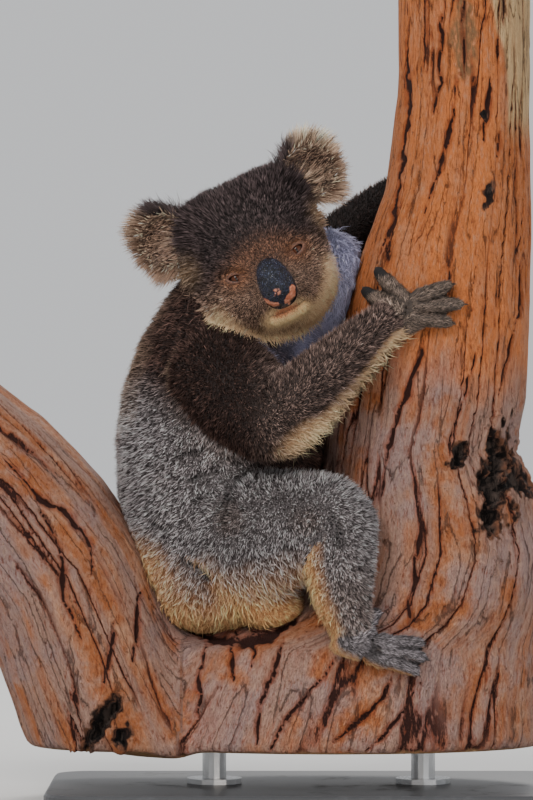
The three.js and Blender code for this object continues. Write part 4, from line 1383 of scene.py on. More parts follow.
# %% [markdown]
# ## Fur as mesh
#
# Particle hair is the usual tool, but it doesn't survive an export, so each tuft is a small closed
# spike of three sides. A tuft stands for some twenty hairs. Short woolly fur needs very many plain
# spikes of four faces; long hair has fewer, with more rings so that they bend. What makes it read
# as fur is in the arrays: roots spread evenly over the skin, a lie that follows the limbs, a gentle
# pull of neighbours into clumps, dark roots, pale tips, a share of black hairs and no two alike.
# The normals of a spike lean towards the skin's, so that light shows the body's form first.


# %% Roots spread over the skin
def scatter(points, faces, density, seed):
    """Random places on a mesh, `density` per square millimetre at each face's middle.
    Faces are walked in order and take their share of a steady count, so that the spread is even."""
    rng = np.random.default_rng(seed)
    a, b, c = (points[faces[:, k]] for k in range(3))
    area = np.linalg.norm(np.cross(b - a, c - a), axis=1) / 2
    wanted = np.cumsum(area * density)
    count = int(wanted[-1])
    marks = np.arange(count) + rng.uniform(0, 1, count)
    chosen = np.minimum(np.searchsorted(wanted, marks), len(faces) - 1)
    u, v = rng.uniform(0, 1, (2, count))
    flip = u + v > 1
    weight = np.stack([np.where(flip, 1 - u, u), np.where(flip, 1 - v, v)], -1)
    weight = np.concatenate([1 - weight.sum(1, keepdims=True), weight], axis=1)
    return faces[chosen], weight[..., None]


def lie_at(points, normals, owner):
    """The way the hair lies at points, along the skin."""
    way = np.stack([skin_room.read(lie_field[axis], points) for axis in range(3)], -1)
    local = to_head(points)
    from_face = unit(local - NOSE_FOOT * np.array([1, 0.75, 1])) + np.array([0, 0.2, 0])
    from_face = from_face - np.array([0, 0, 0.35]) * ramp(-local[:, 2], 10, 60)[:, None]
    way = np.where((owner == OWNER["head"])[:, None], from_face @ HEAD_TURN.T, way)
    for kind, lines in DIGITS.items():
        mine = owner == OWNER[kind]
        total = 0.45 * way[mine]
        for line in lines:
            away = line_distance(points[mine][:, [0, 2]], line)[0]
            toward = np.array([line[-1][0] - line[0][0], 0, line[-1][1] - line[0][1]], float)
            total += bell(away, 5)[:, None] * unit(toward)
        way[mine] = total
    for side, sign in SIDES.items():
        outwards = unit((to_ear(points, sign) + np.array([sign * 16, 0, 8])) * np.array([1, 0, 1]))
        outwards = outwards @ EAR_TURN[sign].T @ HEAD_TURN.T
        way = np.where((owner == OWNER[f"ear_{side}"])[:, None], outwards, way)
    near, _, out = crease_at(points)
    return along_skin(way + 1.2 * near[:, None] * out, normals)


def along_skin(way, normals):
    """A direction laid flat on the skin."""
    return unit(way - normals * np.einsum("ij,ij->i", way, normals)[:, None])


# %% Tufts from roots
# Each ring of a spike has three corners: how far aside each one lies, and how far up.
CORNERS = ((-1, 0), (0, 0.8), (1, 0))
# How far a corner's normal leans up, and how deep a root is sunk in the skin, in millimetres.
NORMAL_LEAN = 0.4
ROOT_SUNK = 0.6


def spikes(place, length, rings, steer):
    """Spikes of three sides. For the number of a ring, steer gives its way, the way its ridge faces
    and its half-width.
    Returns points and normals [spike, corner, xyz]: three corners for each ring, then the tip."""
    made = np.empty((len(place), 3 * rings + 1, 3))
    facing = np.empty_like(made)
    for ring in range(rings):
        way, ridge, swell = steer(ring)
        across = unit(np.cross(way, ridge))
        top = np.cross(across, way)
        for corner, (side, rise) in enumerate(CORNERS, 3 * ring):
            made[:, corner] = place + (across * side + top * rise) * swell[:, None]
            facing[:, corner] = across * side + top * (NORMAL_LEAN + rise)
        place = place + way * (length / rings)[:, None]
    made[:, -1] = place
    facing[:, -1] = way
    return made, facing


def tufts(roots, normals, lie, length, width, lift, rings, curl):
    """Spikes that start at `lift[0]` radians off the skin, end at `lift[1]` and curl aside. The width
    swells a third of the way up and is nothing at the tip."""
    aside = unit(np.cross(normals, lie))

    def steer(ring):
        share = ring / rings
        angle = lift[0] + (lift[1] - lift[0]) * ring / max(rings - 1, 1)
        way = unit(lie * np.cos(curl * share)[:, None] + aside * np.sin(curl * share)[:, None])
        way = way * np.cos(angle)[:, None] + normals * np.sin(angle)[:, None]
        swell = 1 if rings == 1 else 0.72 + 1.0 * share - 1.35 * share**2
        return way, normals + 1e-6, swell * width / 2

    return spikes(roots - normals * ROOT_SUNK, length, rings, steer)


def tuft_faces(rings):
    """Corners of one tuft's faces: quads up its sides, its tip and its foot."""
    quads, triangles = [], []
    for ring in range(rings - 1):
        for side in range(3):
            a, b = 3 * ring + side, 3 * ring + (side + 1) % 3
            quads.append([a, b, b + 3, a + 3])
    last = 3 * (rings - 1)
    for side in range(3):
        triangles.append([last + side, last + (side + 1) % 3, last + 3])
    triangles.append([0, 2, 1])
    return np.array(quads, int).reshape(-1, 4), np.array(triangles)


WOOD_CLEAR = 1.2


def clear_of_wood(spots):
    """Moves points that would lie in the wood out to its surface."""
    flat = spots.reshape(-1, 3)
    gap = wood_room.read(wood_field, flat)
    inside = gap < WOOD_CLEAR
    push = wood_room.rise(wood_field, flat[inside])
    flat[inside] += push * (WOOD_CLEAR - gap[inside])[:, None]
    return flat.reshape(spots.shape)


# %% [markdown]
# ### Where each tuft is in its map
#
# An export paints each coat piece's colours into a picture, and needs a map for it. Each length of
# the body is unrolled round its own middle line: the turn round the line goes across the map, and
# the way along it goes up, in a strip of its own. A tuft is a patch in that map, at its root's place.


# %% Unrolling the skin
def middle_line(kind):
    """A length's middle, its three axes, longest first, and where it starts and ends along that."""
    own = skin_points[owner_at(skin_points) == kind]
    middle = own.mean(0)
    _, _, axes = np.linalg.svd(own[::7] - middle, full_matrices=False)
    along = (own - middle) @ axes[0]
    return middle, axes, along.min(), along.max()


MIDDLE_LINES = {kind: middle_line(kind) for kind in OWNER.values()}
# What is left free at each side of the map, and at each end of a strip.
MAP_EDGE = 0.01
STRIP_EDGE = 0.03


def unroll(points, owner):
    """Places from 0 to 1 in the map: turn round the length's axis, and way along it in its strip."""
    flat = np.zeros((len(points), 2))
    kinds = np.unique(owner)
    for k, kind in enumerate(kinds):
        mine = owner == kind
        middle, axes, start, end = MIDDLE_LINES[kind]
        spun = (points[mine] - middle) @ axes.T
        turn = np.arctan2(spun[:, 2], spun[:, 1]) / (2 * math.pi) + 0.5
        along = np.clip((spun[:, 0] - start) / (end - start), 0, 1)
        strip = k + STRIP_EDGE + (1 - 2 * STRIP_EDGE) * along
        flat[mine] = np.stack([MAP_EDGE + (1 - 2 * MAP_EDGE) * turn, strip / len(kinds)], -1)
    return flat


# %% One piece of coat
PATCH = 0.003
# The most triangles that one piece of coat may have.
PIECE_LIMIT = 195000
SKIN_NORMAL_SHARE = 1.1
fur = Finish("fur", Roughness=0.7, Specular_IOR_Level=0.12)
fur_strand = fur.noise(fur.place(), 900, 2.0)
fur_tone = fur.attribute("coat", "Color")
fur_dark = fur.mix(0.55, fur_tone, (20, 14, 12))
fur.paint(fur.mix(fur.span(fur_strand, 0.35, 0.65, 0.0, 0.3), fur_tone, fur_dark))


def coat_piece(name, spots, facing, shades, patch_at, rings, slot_name):
    """Tufts as one mesh: shades are colours for each corner, patch_at the place in the map."""
    corners = spots.shape[1]
    quads, triangles = tuft_faces(rings)
    base = (np.arange(len(spots)) * corners)[:, None, None]
    faces = [f for f in ((base + quads).reshape(-1, 4), (base + triangles).reshape(-1, 3)) if len(f)]
    piece = put_mesh(name, spots.reshape(-1, 3), faces, colours={"coat": shades.reshape(-1, 3)})
    ring = np.minimum(np.arange(corners) // 3, rings)
    step = np.stack([(np.arange(corners) % 3 - 1) * 0.5, ring / rings - 0.5], -1) * PATCH
    step[-1, 0] = 0
    flat = (patch_at[:, None, :] + step[None]).reshape(-1, 2)
    layer = piece.data.uv_layers.new(name="OFBake")
    order = np.concatenate([f.ravel() for f in faces])
    layer.data.foreach_set("uv", np.clip(flat[order], 0, 1).astype(np.float32).ravel())
    piece.data.normals_split_custom_set_from_vertices(facing.reshape(-1, 3).astype(np.float32))
    dress(piece, fur, slot_name)


def coat_pieces(name, spots, facing, roots, owner, shades, rings, slot_name="coat"):
    """The tufts in as many pieces as their triangles need, from the lowest root to the highest."""
    per_tuft = 6 * (rings - 1) + 4
    pieces = int(math.ceil(len(roots) * per_tuft / PIECE_LIMIT))
    order = np.argsort(roots[:, 2], kind="stable")
    patch_at = unroll(roots, owner)
    for k, part in enumerate(np.array_split(order, pieces)):
        label = f"{name}_{k + 1}" if pieces > 1 else name
        coat_piece(label, spots[part], facing[part], shades[part], patch_at[part], rings, slot_name)
        print(label, len(part), "tufts", len(part) * per_tuft, "triangles")


def tuft_shades(root_tone, tip_tone, bright, dark_hair, rings):
    """Colours from root to tip; `dark_hair` tufts stay dark to their tips."""
    tip = np.clip(tip_tone * bright[:, None], 0, 0.92)
    tip = np.where(dark_hair[:, None], root_tone * 0.7 + tip * 0.12, tip)
    root = root_tone * (0.8 + 0.2 * bright[:, None])
    level = np.minimum(np.arange(3 * rings + 1) // 3, rings) / rings
    level = ramp(level, 0.0, 0.9)[None, :, None]
    return root[:, None] * (1 - level) + tip[:, None] * level


# %% How the coat varies over the body
def traits(points, owner):
    """Length, width, density and stand of the coat. Hair is longer and wider where the coat is deep,
    short, fine and dense on the face, and longer round the ears and on the crown."""
    deep = skin_room.read(depth_field, points)
    local = to_head(points)
    on_head = owner == OWNER["head"]
    nearness = (1 - ramp(nose_distance(local, 0.6), 30, 100)) * on_head
    ear_away = np.min([np.linalg.norm(to_ear(points, sign), axis=1) for sign in (RIGHT, LEFT)], axis=0)
    crown = ramp(local[:, 2], 30, 80) * on_head
    length = (2.7 + 0.72 * deep - 1.2 * on_head) * (1 - 0.4 * nearness)
    length += 7 * (1 - ramp(ear_away, 34, 56)) * on_head + 2.5 * crown
    width = (1.15 + 0.05 * deep - 0.2 * on_head) * (1 - 0.2 * nearness)
    density = np.where(on_head, 0.68 + 0.65 * nearness, 0.4 + 0.35 * ramp(-deep, -6.5, -1.0))
    chin = oval(local[:, 0], local[:, 2], *CHIN_HAIR)
    on_chin = (1 - ramp(chin, 0.7, 1.35)) * on_head * (local[:, 1] < -60)
    length = length + (3.6 - length) * on_chin
    density = density + (2.0 - density) * on_chin
    in_ear = np.isin(owner, (OWNER["ear_right"], OWNER["ear_left"]))
    density = np.where(in_ear, 0.4, density)
    length = np.where(in_ear, 8.0, length)
    stand = 1.1 - 0.38 * nearness - 0.45 * ramp(-deep, -5, -2) + 0.12 * on_head
    in_paw = ramp(-deep, -3.2, -1.0) * ~on_head
    length, width = length + 2.4 * in_paw, width - 0.4 * in_paw
    density, stand = density + 0.3 * in_paw, stand - 0.35 * in_paw
    return length, width, density, stand


def calm_at(points, owner):
    """1 on the face, the chest, the hands and the feet, whose hair is even, 0 on the body."""
    face = (1 - ramp(nose_distance(to_head(points), 0.6), 40, 95)) * (owner == OWNER["head"])
    chest = 1 - ramp(chest_distance(points), 1.0, 1.2)
    return np.maximum.reduce([face, chest, ramp(-skin_room.read(depth_field, points), -3.2, -1.0)])


def bare(points, owner):
    """True where the skin is bare: the nose, the lids and the pads."""
    local = to_head(points)
    nose = oval(local[:, 0], local[:, 2], (0, -34), (19.5, 27)) < 1
    found = nose & (local[:, 1] < -60)
    for sign in (RIGHT, LEFT):
        found |= (oval(*eye_place(local, sign), (0, 0.3), (10.0, 5.6)) < 1) & (local[:, 1] < -40)
    lips = (np.abs(mouth_line(local)) < 1.3) & (np.abs(local[:, 0]) < MOUTH["half"])
    found = (found | lips & (local[:, 1] < -50)) & (owner == OWNER["head"])
    return found | (near_pad(points) > 0.5)


def long_hair(points, normals, owner):
    """Where long hair grows, 0 to 1, how long it is, how far it hangs, and where it stands away."""
    x, z = points[:, 0], points[:, 2]
    local = to_head(points)
    names = {name: owner == i for name, i in OWNER.items()}
    ruff = ramp(jaw_distance(local), 62, 74) * ramp(-local[:, 2], 8, 40) * names["head"]
    ruff = ruff * ramp(local[:, 1], -88, -62)
    under = ramp(-normals[:, 2] + 0.25 * normals[:, 0], 0.45, 0.85)
    sleeve = under * ramp(x, -50, -15) * (names["forearm_right"] | names["arm_upper_right"])
    on_rump = names["torso"] | names["thigh_right"] | names["thigh_left"]
    rump = ramp(-normals[:, 2] - 0.3 * normals[:, 0], 0.25, 0.8) * ramp(-z, -300, -255) * on_rump
    heel = ramp(-normals[:, 0] - 0.3 * normals[:, 2], 0.4, 0.8) * (names["shin_right"] | names["shin_left"])
    shoulder = ramp(-normals[:, 0], 0.3, 0.8) * ramp(z, 440, 520) * (names["torso"] | names["neck"])
    throat = (1 - ramp(chest_distance(points), 1.0, 1.2)) * (names["torso"] | names["neck"])
    temple = temple_at(local) * names["head"]
    share = np.maximum.reduce([
        ruff, 0.9 * sleeve, 0.7 * rump, 0.5 * heel, 0.14 * shoulder, 0.4 * throat, temple])
    length = 10 + 4 * ruff + 9 * sleeve + 5 * rump + 5 * shoulder + 6 * throat + 21 * temple
    hang = 1.3 * sleeve + 0.5 * rump + 0.7 * ruff + 1.1 * temple
    return share, length, hang, temple


CLUMP = 2.3
HEAD_CLUMP = 1.8
ROOT_CLEAR = 0.5
LONG_DENSITY = 0.19
# How much tufts differ: limits of a factor for length and width, and the spread of the others.
VARY = {"length": (0.65, 1.25), "width": (0.75, 1.3), "lie": 0.3, "lift": 0.14, "curl": 0.4, "bright": 0.3}


def density_at(points, normals, owner, long_only):
    """Tufts on a square millimetre, of the coat or of its long hair, which is densest on the head."""
    if not long_only:
        return traits(points, owner)[2]
    return LONG_DENSITY * long_hair(points, normals, owner)[0] * (1 + 0.6 * (owner == OWNER["head"]))


def coat_roots(names, share, seed, long_only):
    """Roots, normals and owners of tufts on some lengths of the body, off the wood and bare skin."""
    triangles = split_quads(skin_faces)
    middles = skin_points[triangles].mean(1)
    owner = owner_at(middles)
    mine = np.isin(owner, [OWNER[name] for name in names])
    triangles, middles, owner = triangles[mine], middles[mine], owner[mine]
    density = density_at(middles, skin_normals[triangles[:, 0]], owner, long_only)
    corners, weight = scatter(skin_points, triangles, density * share, seed)
    roots = (skin_points[corners] * weight).sum(1)
    normals = unit((skin_normals[corners] * weight).sum(1))
    owner = owner_at(roots)
    keep = (wood_room.read(wood_field, roots) > ROOT_CLEAR) & ~bare(roots, owner)
    return roots[keep], normals[keep], owner[keep]


def coat_colours(roots, normals, owner, clump, calm, rings, rng):
    """Colours of tufts from root to tip. Each takes the marking a little astray of its root. It is
    painted brighter where its clump stands up and darker, with more black hairs, where its clump sinks:
    painted light and shade over the coat's own salt and pepper. Painted shade darkens folds, creases
    and the gaps between digits, painted light brightens the digits' crests and the top of the near
    thigh, and some tufts stay black. Pale places, whose roots are light, vary less."""
    on_head = owner == OWNER["head"]
    count = len(roots)
    astray = np.where(on_head, 1.6, 3.2)[:, None] * rng.normal(0, 1, roots.shape)
    root_tone, tip_tone = markings(roots + astray, normals, owner)
    peppered = 1 - 0.7 * ramp(root_tone.mean(1), 0.05, 0.3)
    # Painted shade: tufts are darker in folds, where the body shades them, and less so on the head.
    painted_shading = 1 - PAINTED_FOLD_SHADE * (0.15 + 0.85 * peppered) * (1 - 0.4 * on_head) * fold_dark(roots, normals)
    # Painted shade in the gaps between digits, and painted light on their crests.
    crest, gap = digits_at(roots, owner)
    painted_shading *= (1 - 0.8 * gap) * (1 + 0.3 * crest)
    # Painted light and shade: a tuft is brighter where its clump stands up and darker where it sinks.
    strength = (1.0 + 0.3 * on_head) * (1 - 0.65 * calm)
    spread = rng.normal(0, VARY["bright"], count)
    bright = np.exp(peppered * (spread + strength * clump + 0.12 * noise(roots, 9, 94)))
    # Painted light: the near thigh is lighter where it faces up.
    painted_top_light = ramp(normals[:, 2], 0.3, 0.9) * (owner == OWNER["thigh_right"])
    bright *= (1 + 0.12 * noise(roots, 40, 95)) * (1 + 0.3 * painted_top_light)
    # Painted shade between clumps: more black hairs where a clump sinks.
    dark_share = peppered * (0.3 + 0.12 * on_head - 0.4 * clump * (1 - calm)) - 0.3 * (1 - peppered)
    shades = tuft_shades(root_tone, tip_tone, bright, rng.uniform(0, 1, count) < dark_share, rings)
    # Painted shade in the creases of the flank and hip.
    painted_shading *= 1 - 0.85 * crease_at(roots)[0]
    return shades * painted_shading[:, None, None]


def grow(name, names, share, rings, seed, long_only=False):
    """The coat of several lengths of the body, or its long hair alone."""
    rng = np.random.default_rng(seed)
    roots, normals, owner = coat_roots(names, share, seed, long_only)
    count = len(roots)
    on_head = owner == OWNER["head"]
    length, width, _, stand = traits(roots, owner)
    lie = lie_at(roots, normals, owner)
    if long_only:
        _, length, hang, away = long_hair(roots, normals, owner)
        lie = along_skin(lie - hang[:, None] * np.array([0, 0, 1]), normals)
        fine = on_head * (1 - away)
        width, stand = 1.2 - 0.4 * fine, stand * 0.75 + 0.25 * away
        length = length * (1 - 0.2 * fine)
    calm = calm_at(roots, owner)
    pull = slope_of_noise(roots, 6, 91) * 0.7 + slope_of_noise(roots, 24, 92) * 0.35
    pull *= (1 - 0.6 * calm - 0.3 * on_head * (1 - calm))[:, None]
    lie = along_skin(lie + pull + rng.normal(0, VARY["lie"], roots.shape), normals)
    length = length * rng.uniform(*VARY["length"], count)
    width = width * rng.uniform(*VARY["width"], count)
    clump = np.where(on_head, noise(roots, HEAD_CLUMP, 96), noise(roots, CLUMP, 96))
    length *= 1 + 0.35 * clump
    raised = stand + 0.2 * clump + 0.15 * noise(roots, 12, 93) + rng.normal(0, VARY["lift"], count)
    lift = (raised, raised - (0.55 if rings > 1 else 0))
    curl = rng.normal(0, VARY["curl"], count)
    spots, facing = tufts(roots, normals, lie, length, width, lift, rings, curl)
    spots = clear_of_wood(spots)
    facing = unit(facing + SKIN_NORMAL_SHARE * normals[:, None])
    shades = coat_colours(roots, normals, owner, clump, calm, rings, rng)
    coat_pieces(name, spots, facing, roots, owner, shades, rings)


# %% Coat of the body
TRIAL = 1.0
grow("coat_torso", ["torso", "neck"], 0.88 * TRIAL, 1, 101)
grow("coat_head", HEAD_PARTS, 0.96 * TRIAL, 1, 103)
for side, share in (("right", TRIAL), ("left", 0.82 * TRIAL)):
    grow(f"coat_arm_{side}", [f"arm_upper_{side}", f"forearm_{side}", f"hand_{side}"], share, 1, 104)
    grow(f"coat_leg_{side}", [f"thigh_{side}", f"shin_{side}", f"foot_{side}"], share, 1, 105)
grow("coat_long", [*FLESH, "head"], TRIAL, 2, 106, long_only=True)

# %% [markdown]
# ## Hair of the ears
#
# A koala's ears carry its longest hair: a fringe that stands off the rim like a brush, and wavy hair
# that sweeps from the inner base across the cup. Each hair tuft is a long spike of three rings. The
# roots are drawn as whole arrays in the ear's own frame; the way out of the ear's inner base gives
# the direction, and a sideways wave bends it.


# %% Long hair of one ear
# Where an ear's hair seems to start, in the ear's own frame with x outwards.
EAR_FOOT = np.array([-26, 0, -12.0])
# The three kinds of an ear's hair and their shares.
RIM_FRONT, RIM_BACK, IN_CUP = 0, 1, 2
KIND_SHARES = (0.32, 0.28, 0.4)


def ear_roots(sign, count, rng):
    """Roots and directions in an ear's own frame: on the rim's front, on its back, and across the cup.
    The angle runs from the outer side over the top to the inner side."""
    kind = rng.choice((RIM_FRONT, RIM_BACK, IN_CUP), count, p=KIND_SHARES)
    in_cup = kind == IN_CUP
    turn = np.radians(rng.uniform(-105, 150, count))
    turn = np.where(in_cup, np.radians(rng.uniform(-180, 180, count)), turn)
    rim = np.where(in_cup, rng.uniform(0.1, 0.85, count), rng.uniform(0.8, 1.0, count))
    root = np.stack([sign * EAR["wide"] * rim * np.cos(turn), np.zeros(count),
                     EAR["tall"] * rim * np.sin(turn)], -1)
    root[:, 0] -= np.where(in_cup, sign * 7, 0)
    root[:, 1] = EAR["cup"] * (1 - rim**2) + np.where(kind == RIM_BACK, EAR["wall"] * 0.6, 0)
    out = unit((root - EAR_FOOT * np.array([sign, 1, 1])) * np.array([1, 0, 1]) + np.array([0, 0, 1e-3]))
    tilt = np.where(kind == RIM_BACK, 0.16, -0.16) + rng.normal(0, 0.12, count)
    out = unit(out + tilt[:, None] * np.array([0, 1, 0]) + rng.normal(0, 0.07, (count, 3)))
    degrees = np.degrees(turn)
    brush = ramp(degrees, 5, 40) * ramp(-degrees, -135, -95)
    length = rng.uniform(11, 22, count) + 8 * brush
    length *= 0.6 + 0.4 * ramp(degrees, -110, -70)
    length += 14 * bell(degrees, 24, -82)
    length = np.where(in_cup, rng.uniform(20, 34, count), length)
    return root, out, length, in_cup, degrees


# In an ear's own x, outwards, and z: the pale streak across the cup, and the cup's dark middle.
STREAK = [(-23, -8), (-12, 8), (3, 26)]
HOLLOW = np.array([11.0, 1.0])


def ear_tones(sign, in_cup, degrees, root):
    """Root and tip colours: a pale brush on top, a pale streak beside a dark cup, lighter hair below
    it, and the crown's own dark fur over the inner side."""
    flat = root[:, [0, 2]] * np.array([sign, 1])
    dark_from, base, brush, under = (92, 0.3, 0.7, 0.5) if sign == LEFT else (62, 0.1, 0.3, 0.1)
    inner = ramp(degrees + 8 * noise(root, 9, 62), dark_from, dark_from + 32)
    inner = np.maximum(inner, 0.8 * ramp(-degrees, 145, 170))
    streak = bell(line_distance(flat, STREAK)[0], 4.5)
    hollow = bell(np.linalg.norm(flat - HOLLOW, axis=1), 12) * in_cup
    low = ramp(-flat[:, 1], 2, 16)
    pale = np.where(in_cup, 0.1 + 0.85 * streak + under * low, base + brush * ramp(degrees, 0, 40))
    tip = blend(np.tile(TONES["cup"][1], (len(root), 1)), TONES["tuft"][1], pale)
    tip = blend(tip, TONES["crown"][0], 0.8 * hollow)
    if sign == RIGHT:
        tip = blend(tip, linear(150, 136, 134), 0.7 * low * in_cup)
        tip = blend(tip, TONES["cup"][1], np.full(len(root), 0.35))
    foot = np.where(in_cup[:, None], TONES["cup"][0], TONES["tuft"][0])
    return blend(foot, TONES["crown"][0], inner), blend(tip, TONES["crown"][1], inner)


# The way an ear's spikes turn their ridge, and the way their light leans.
EAR_RIDGE = np.array([0.1, -1.0, 0.1])
EAR_LIGHT = np.array([0, -0.5, 0.4])


def ear_hair(side, sign, count, seed):
    """The hair of one ear: spikes that leave its foot like spokes, wave aside and droop."""
    rng = np.random.default_rng(seed)
    root, out, length, in_cup, degrees = ear_roots(sign, count, rng)
    roots = from_head(from_ear(root, sign))
    way = out @ EAR_TURN[sign].T @ HEAD_TURN.T
    side_way = unit(np.cross(way, np.array([0, -1.0, 0.2])))
    droop = np.array([0, 0, -1.0])
    rings = 3
    wave = rng.normal(0, 0.14, count) + 0.4 * noise(roots, 13, 61)
    wave_turn = rng.uniform(0, 2 * math.pi, count)
    width = rng.uniform(0.6, 1.15, count)

    def steer(ring):
        share = ring / rings
        swing = wave * share + 0.16 * np.sin(wave_turn + 5 * share)
        bent = unit(way + side_way * swing[:, None] + droop * 0.35 * share**2)
        return bent, EAR_RIDGE, (1 - 0.75 * share) * width / 2

    made, facing = spikes(roots, length, rings, steer)
    root_tone, tip = ear_tones(sign, in_cup, degrees, root)
    spokes = 34 * unit(root - EAR_FOOT * np.array([sign, 1, 1]))
    bright = rng.lognormal(0, 0.2, count) * np.exp(0.75 * noise(spokes, 3.2, 63))
    shades = tuft_shades(root_tone, tip, bright, rng.uniform(0, 1, count) < 0.14, rings)
    own = np.full(count, OWNER[f"ear_{side}"])
    coat_pieces(f"coat_ear_{side}", clear_of_wood(made), unit(facing + EAR_LIGHT), roots, own, shades,
                rings, "pale_coat")


EAR_HAIRS = 3900
for side, sign in SIDES.items():
    ear_hair(side, sign, int(EAR_HAIRS * (1)), 107)

# %% [markdown]
# ## The nose
#
# A koala's nose is a large bare pad of black leather, narrower at its top, with a comma of a nostril
# at each side low down and, in many animals, patches where the skin has no pigment. It is worked out
# as rings, one for each level from top to bottom. Half of a ring bulges from the face, the other
# half lies inside the head, so the pad is a closed body. Pebbles are too small to model and are bump.

# %% The nose pad
NOSE = {"top": -3.5, "bottom": -62.5, "half": 21.2, "rise": 12.0, "sunk": 4.0}
NOSTRIL = np.array([(19, -51), (14, -57), (7, -59.2)], float)
# Patches without pigment: the line of each in x, z, and its half-width.
PINK_BANDS = [([(-20, -46), (-17, -51), (-10, -56.5)], 3.4), ([(14.5, -46), (12, -52), (3, -57)], 3.6)]
PINK_SPOT = (-3.5, -43.5, 5.5)


def nose_form(rows=84, columns=136):
    """Level rings: half-width and rise are powers of the distance from the pad's middle level, and
    a ring is pushed out of the face by a power of the sine of its turn."""
    share = ((1 - np.cos(np.linspace(0.05, math.pi - 0.05, rows))) / 2)[:, None]
    turn = turns(columns)[None, :]
    from_middle = np.abs(2 * share - 1)
    half = NOSE["half"] * (1 - from_middle**2.4) ** 0.417 * (0.78 + 0.28 * share)
    rise = NOSE["rise"] * (1 - from_middle**3) ** 0.6 * (0.7 + 0.35 * share)
    x = half * np.cos(turn)
    z = NOSE["top"] + (NOSE["bottom"] - NOSE["top"]) * share + 0 * turn
    out = np.sin(turn)
    push = np.where(out > 0, rise * np.abs(out) ** 0.8, -NOSE["sunk"] * np.abs(out) ** 0.8)
    return closed_tube(np.stack([x, face_at(x, z) + 1.4 - push, z], -1))


nose_local, nose_faces = nose_form()
in_front = ramp(-(nose_local[:, 1] - face_at(nose_local[:, 0], nose_local[:, 2])), 0, 2)
nose_flat = nose_local[:, [0, 2]] + 1.2 * np.stack([noise(nose_local, 4, 71), noise(nose_local, 4, 72)], -1)
nose_flat += 0.8 * np.stack([noise(nose_local, 1.8, 75), noise(nose_local, 1.8, 76)], -1)
hole = np.zeros(len(nose_local))
wing = np.zeros(len(nose_local))
for sign in (RIGHT, LEFT):
    away, along, _, _ = line_distance(nose_local[:, [0, 2]], NOSTRIL * np.array([sign, 1]))
    hole = np.maximum(hole, bell(away, 1.0 + 0.9 * along))
    wing = np.maximum(wing, bell(away, 2.2, 4.2))
pink = np.zeros(len(nose_local))
for line, half in PINK_BANDS:
    pink = np.maximum(pink, 1 - ramp(line_distance(nose_flat, line)[0] / half, 0.75, 1.0))
spot = np.hypot(nose_flat[:, 0] - PINK_SPOT[0], nose_flat[:, 1] - PINK_SPOT[1]) / PINK_SPOT[2]
pink = np.maximum(pink, (1 - ramp(spot, 0.5, 1.1)) * ramp(noise(nose_local, 1.9, 73), -0.1, 0.3))
middle_groove = bell(nose_local[:, 0], 1.1) * ramp(-nose_local[:, 2], 46, 56)
sink = 3.2 * hole - 0.7 * wing + 0.8 * middle_groove - 0.25 * noise(nose_local, 5, 74)
nose_local = nose_local + np.array([0, 1, 0]) * (sink * in_front)[:, None]
nose_points = from_head(nose_local)

# %% Finish of the nose
leather = Finish("nose_leather", Roughness=0.27, Specular_IOR_Level=0.5)
leather_place = leather.place()
pebble = leather.add("ShaderNodeTexVoronoi", {"feature": "DISTANCE_TO_EDGE"},
                     Vector=leather_place, Scale=430.0).outputs["Distance"]
blotch = leather.noise(leather_place, 160, 4.0)
black_skin = leather.mix(leather.span(blotch, 0.35, 0.65), (17, 19, 28), (38, 42, 62))
black_skin = leather.mix(leather.span(pebble, 0.0, 0.16, 0.55, 0.0), black_skin, (9, 9, 13))
# Painted glints: pale blue-grey specks mixed into the leather's colour, standing in for highlights on its
# pebbles.
glint = leather.span(leather.noise(leather_place, 520, 2.0), 0.63, 0.68, 0.0, 0.6)
black_skin = leather.mix(glint, black_skin, (112, 122, 150))
pink_skin = leather.mix(leather.span(blotch, 0.4, 0.65), (196, 112, 78), (232, 158, 126))
nose_colour = leather.mix(leather.attribute("pink"), black_skin, pink_skin)
leather.paint(leather.mix(leather.attribute("hole"), nose_colour, (7, 4, 4)))
leather.bump(leather.span(pebble, 0.0, 0.3), 1.0, 0.0014)
nose_numbers = {"pink": pink * in_front, "hole": hole * in_front}
nose = put_mesh("nose_pad", nose_points, nose_faces, numbers=nose_numbers)
dress(nose, leather, "nose", "nose")
print("nose rises", round(float(-(nose_local[:, 1].min()) + face_at(0, -46)), 1), "mm from the face")

# %% [markdown]
# ## Eyes and their lids
#
# The eyes are small and sunk, and the lids hide most of each ball, so an eye reads by its lids: an
# almond opening that slants down to the nose, a pale bare rim, a crease in the upper lid. The lids are
# one closed ring: its inner edge follows the almond on the ball, its outer edge dives under the skin.
# The ball has a slight bulge for the cornea, and its pupil is an upright slit.

# %% Eyeballs
ALMOND = {"half": 8.2, "up": 3.9, "down": 2.7, "outer_half": 12.6, "outer_tall": 9.4}
IRIS_REACH = 0.72
eye_glass = Finish("eye_glass", Roughness=0.14, Specular_IOR_Level=0.2, Coat_Weight=0.08,
                   Coat_Roughness=0.05)
gaze = eye_glass.attribute("gaze")
iris_fibre = eye_glass.noise(eye_glass.place(), 900, 3.0)
iris_colour = eye_glass.mix(iris_fibre, (38, 17, 10), (92, 50, 28))
iris_colour = eye_glass.mix(eye_glass.span(gaze, IRIS_REACH - 0.16, IRIS_REACH), iris_colour, (16, 9, 7))
ball_colour = eye_glass.mix(eye_glass.span(gaze, IRIS_REACH, IRIS_REACH + 0.1), iris_colour, (40, 24, 20))
eye_glass.paint(eye_glass.mix(eye_glass.span(eye_glass.attribute("pupil"), 1.1, 0.9), ball_colour,
                              (3, 2, 2)))


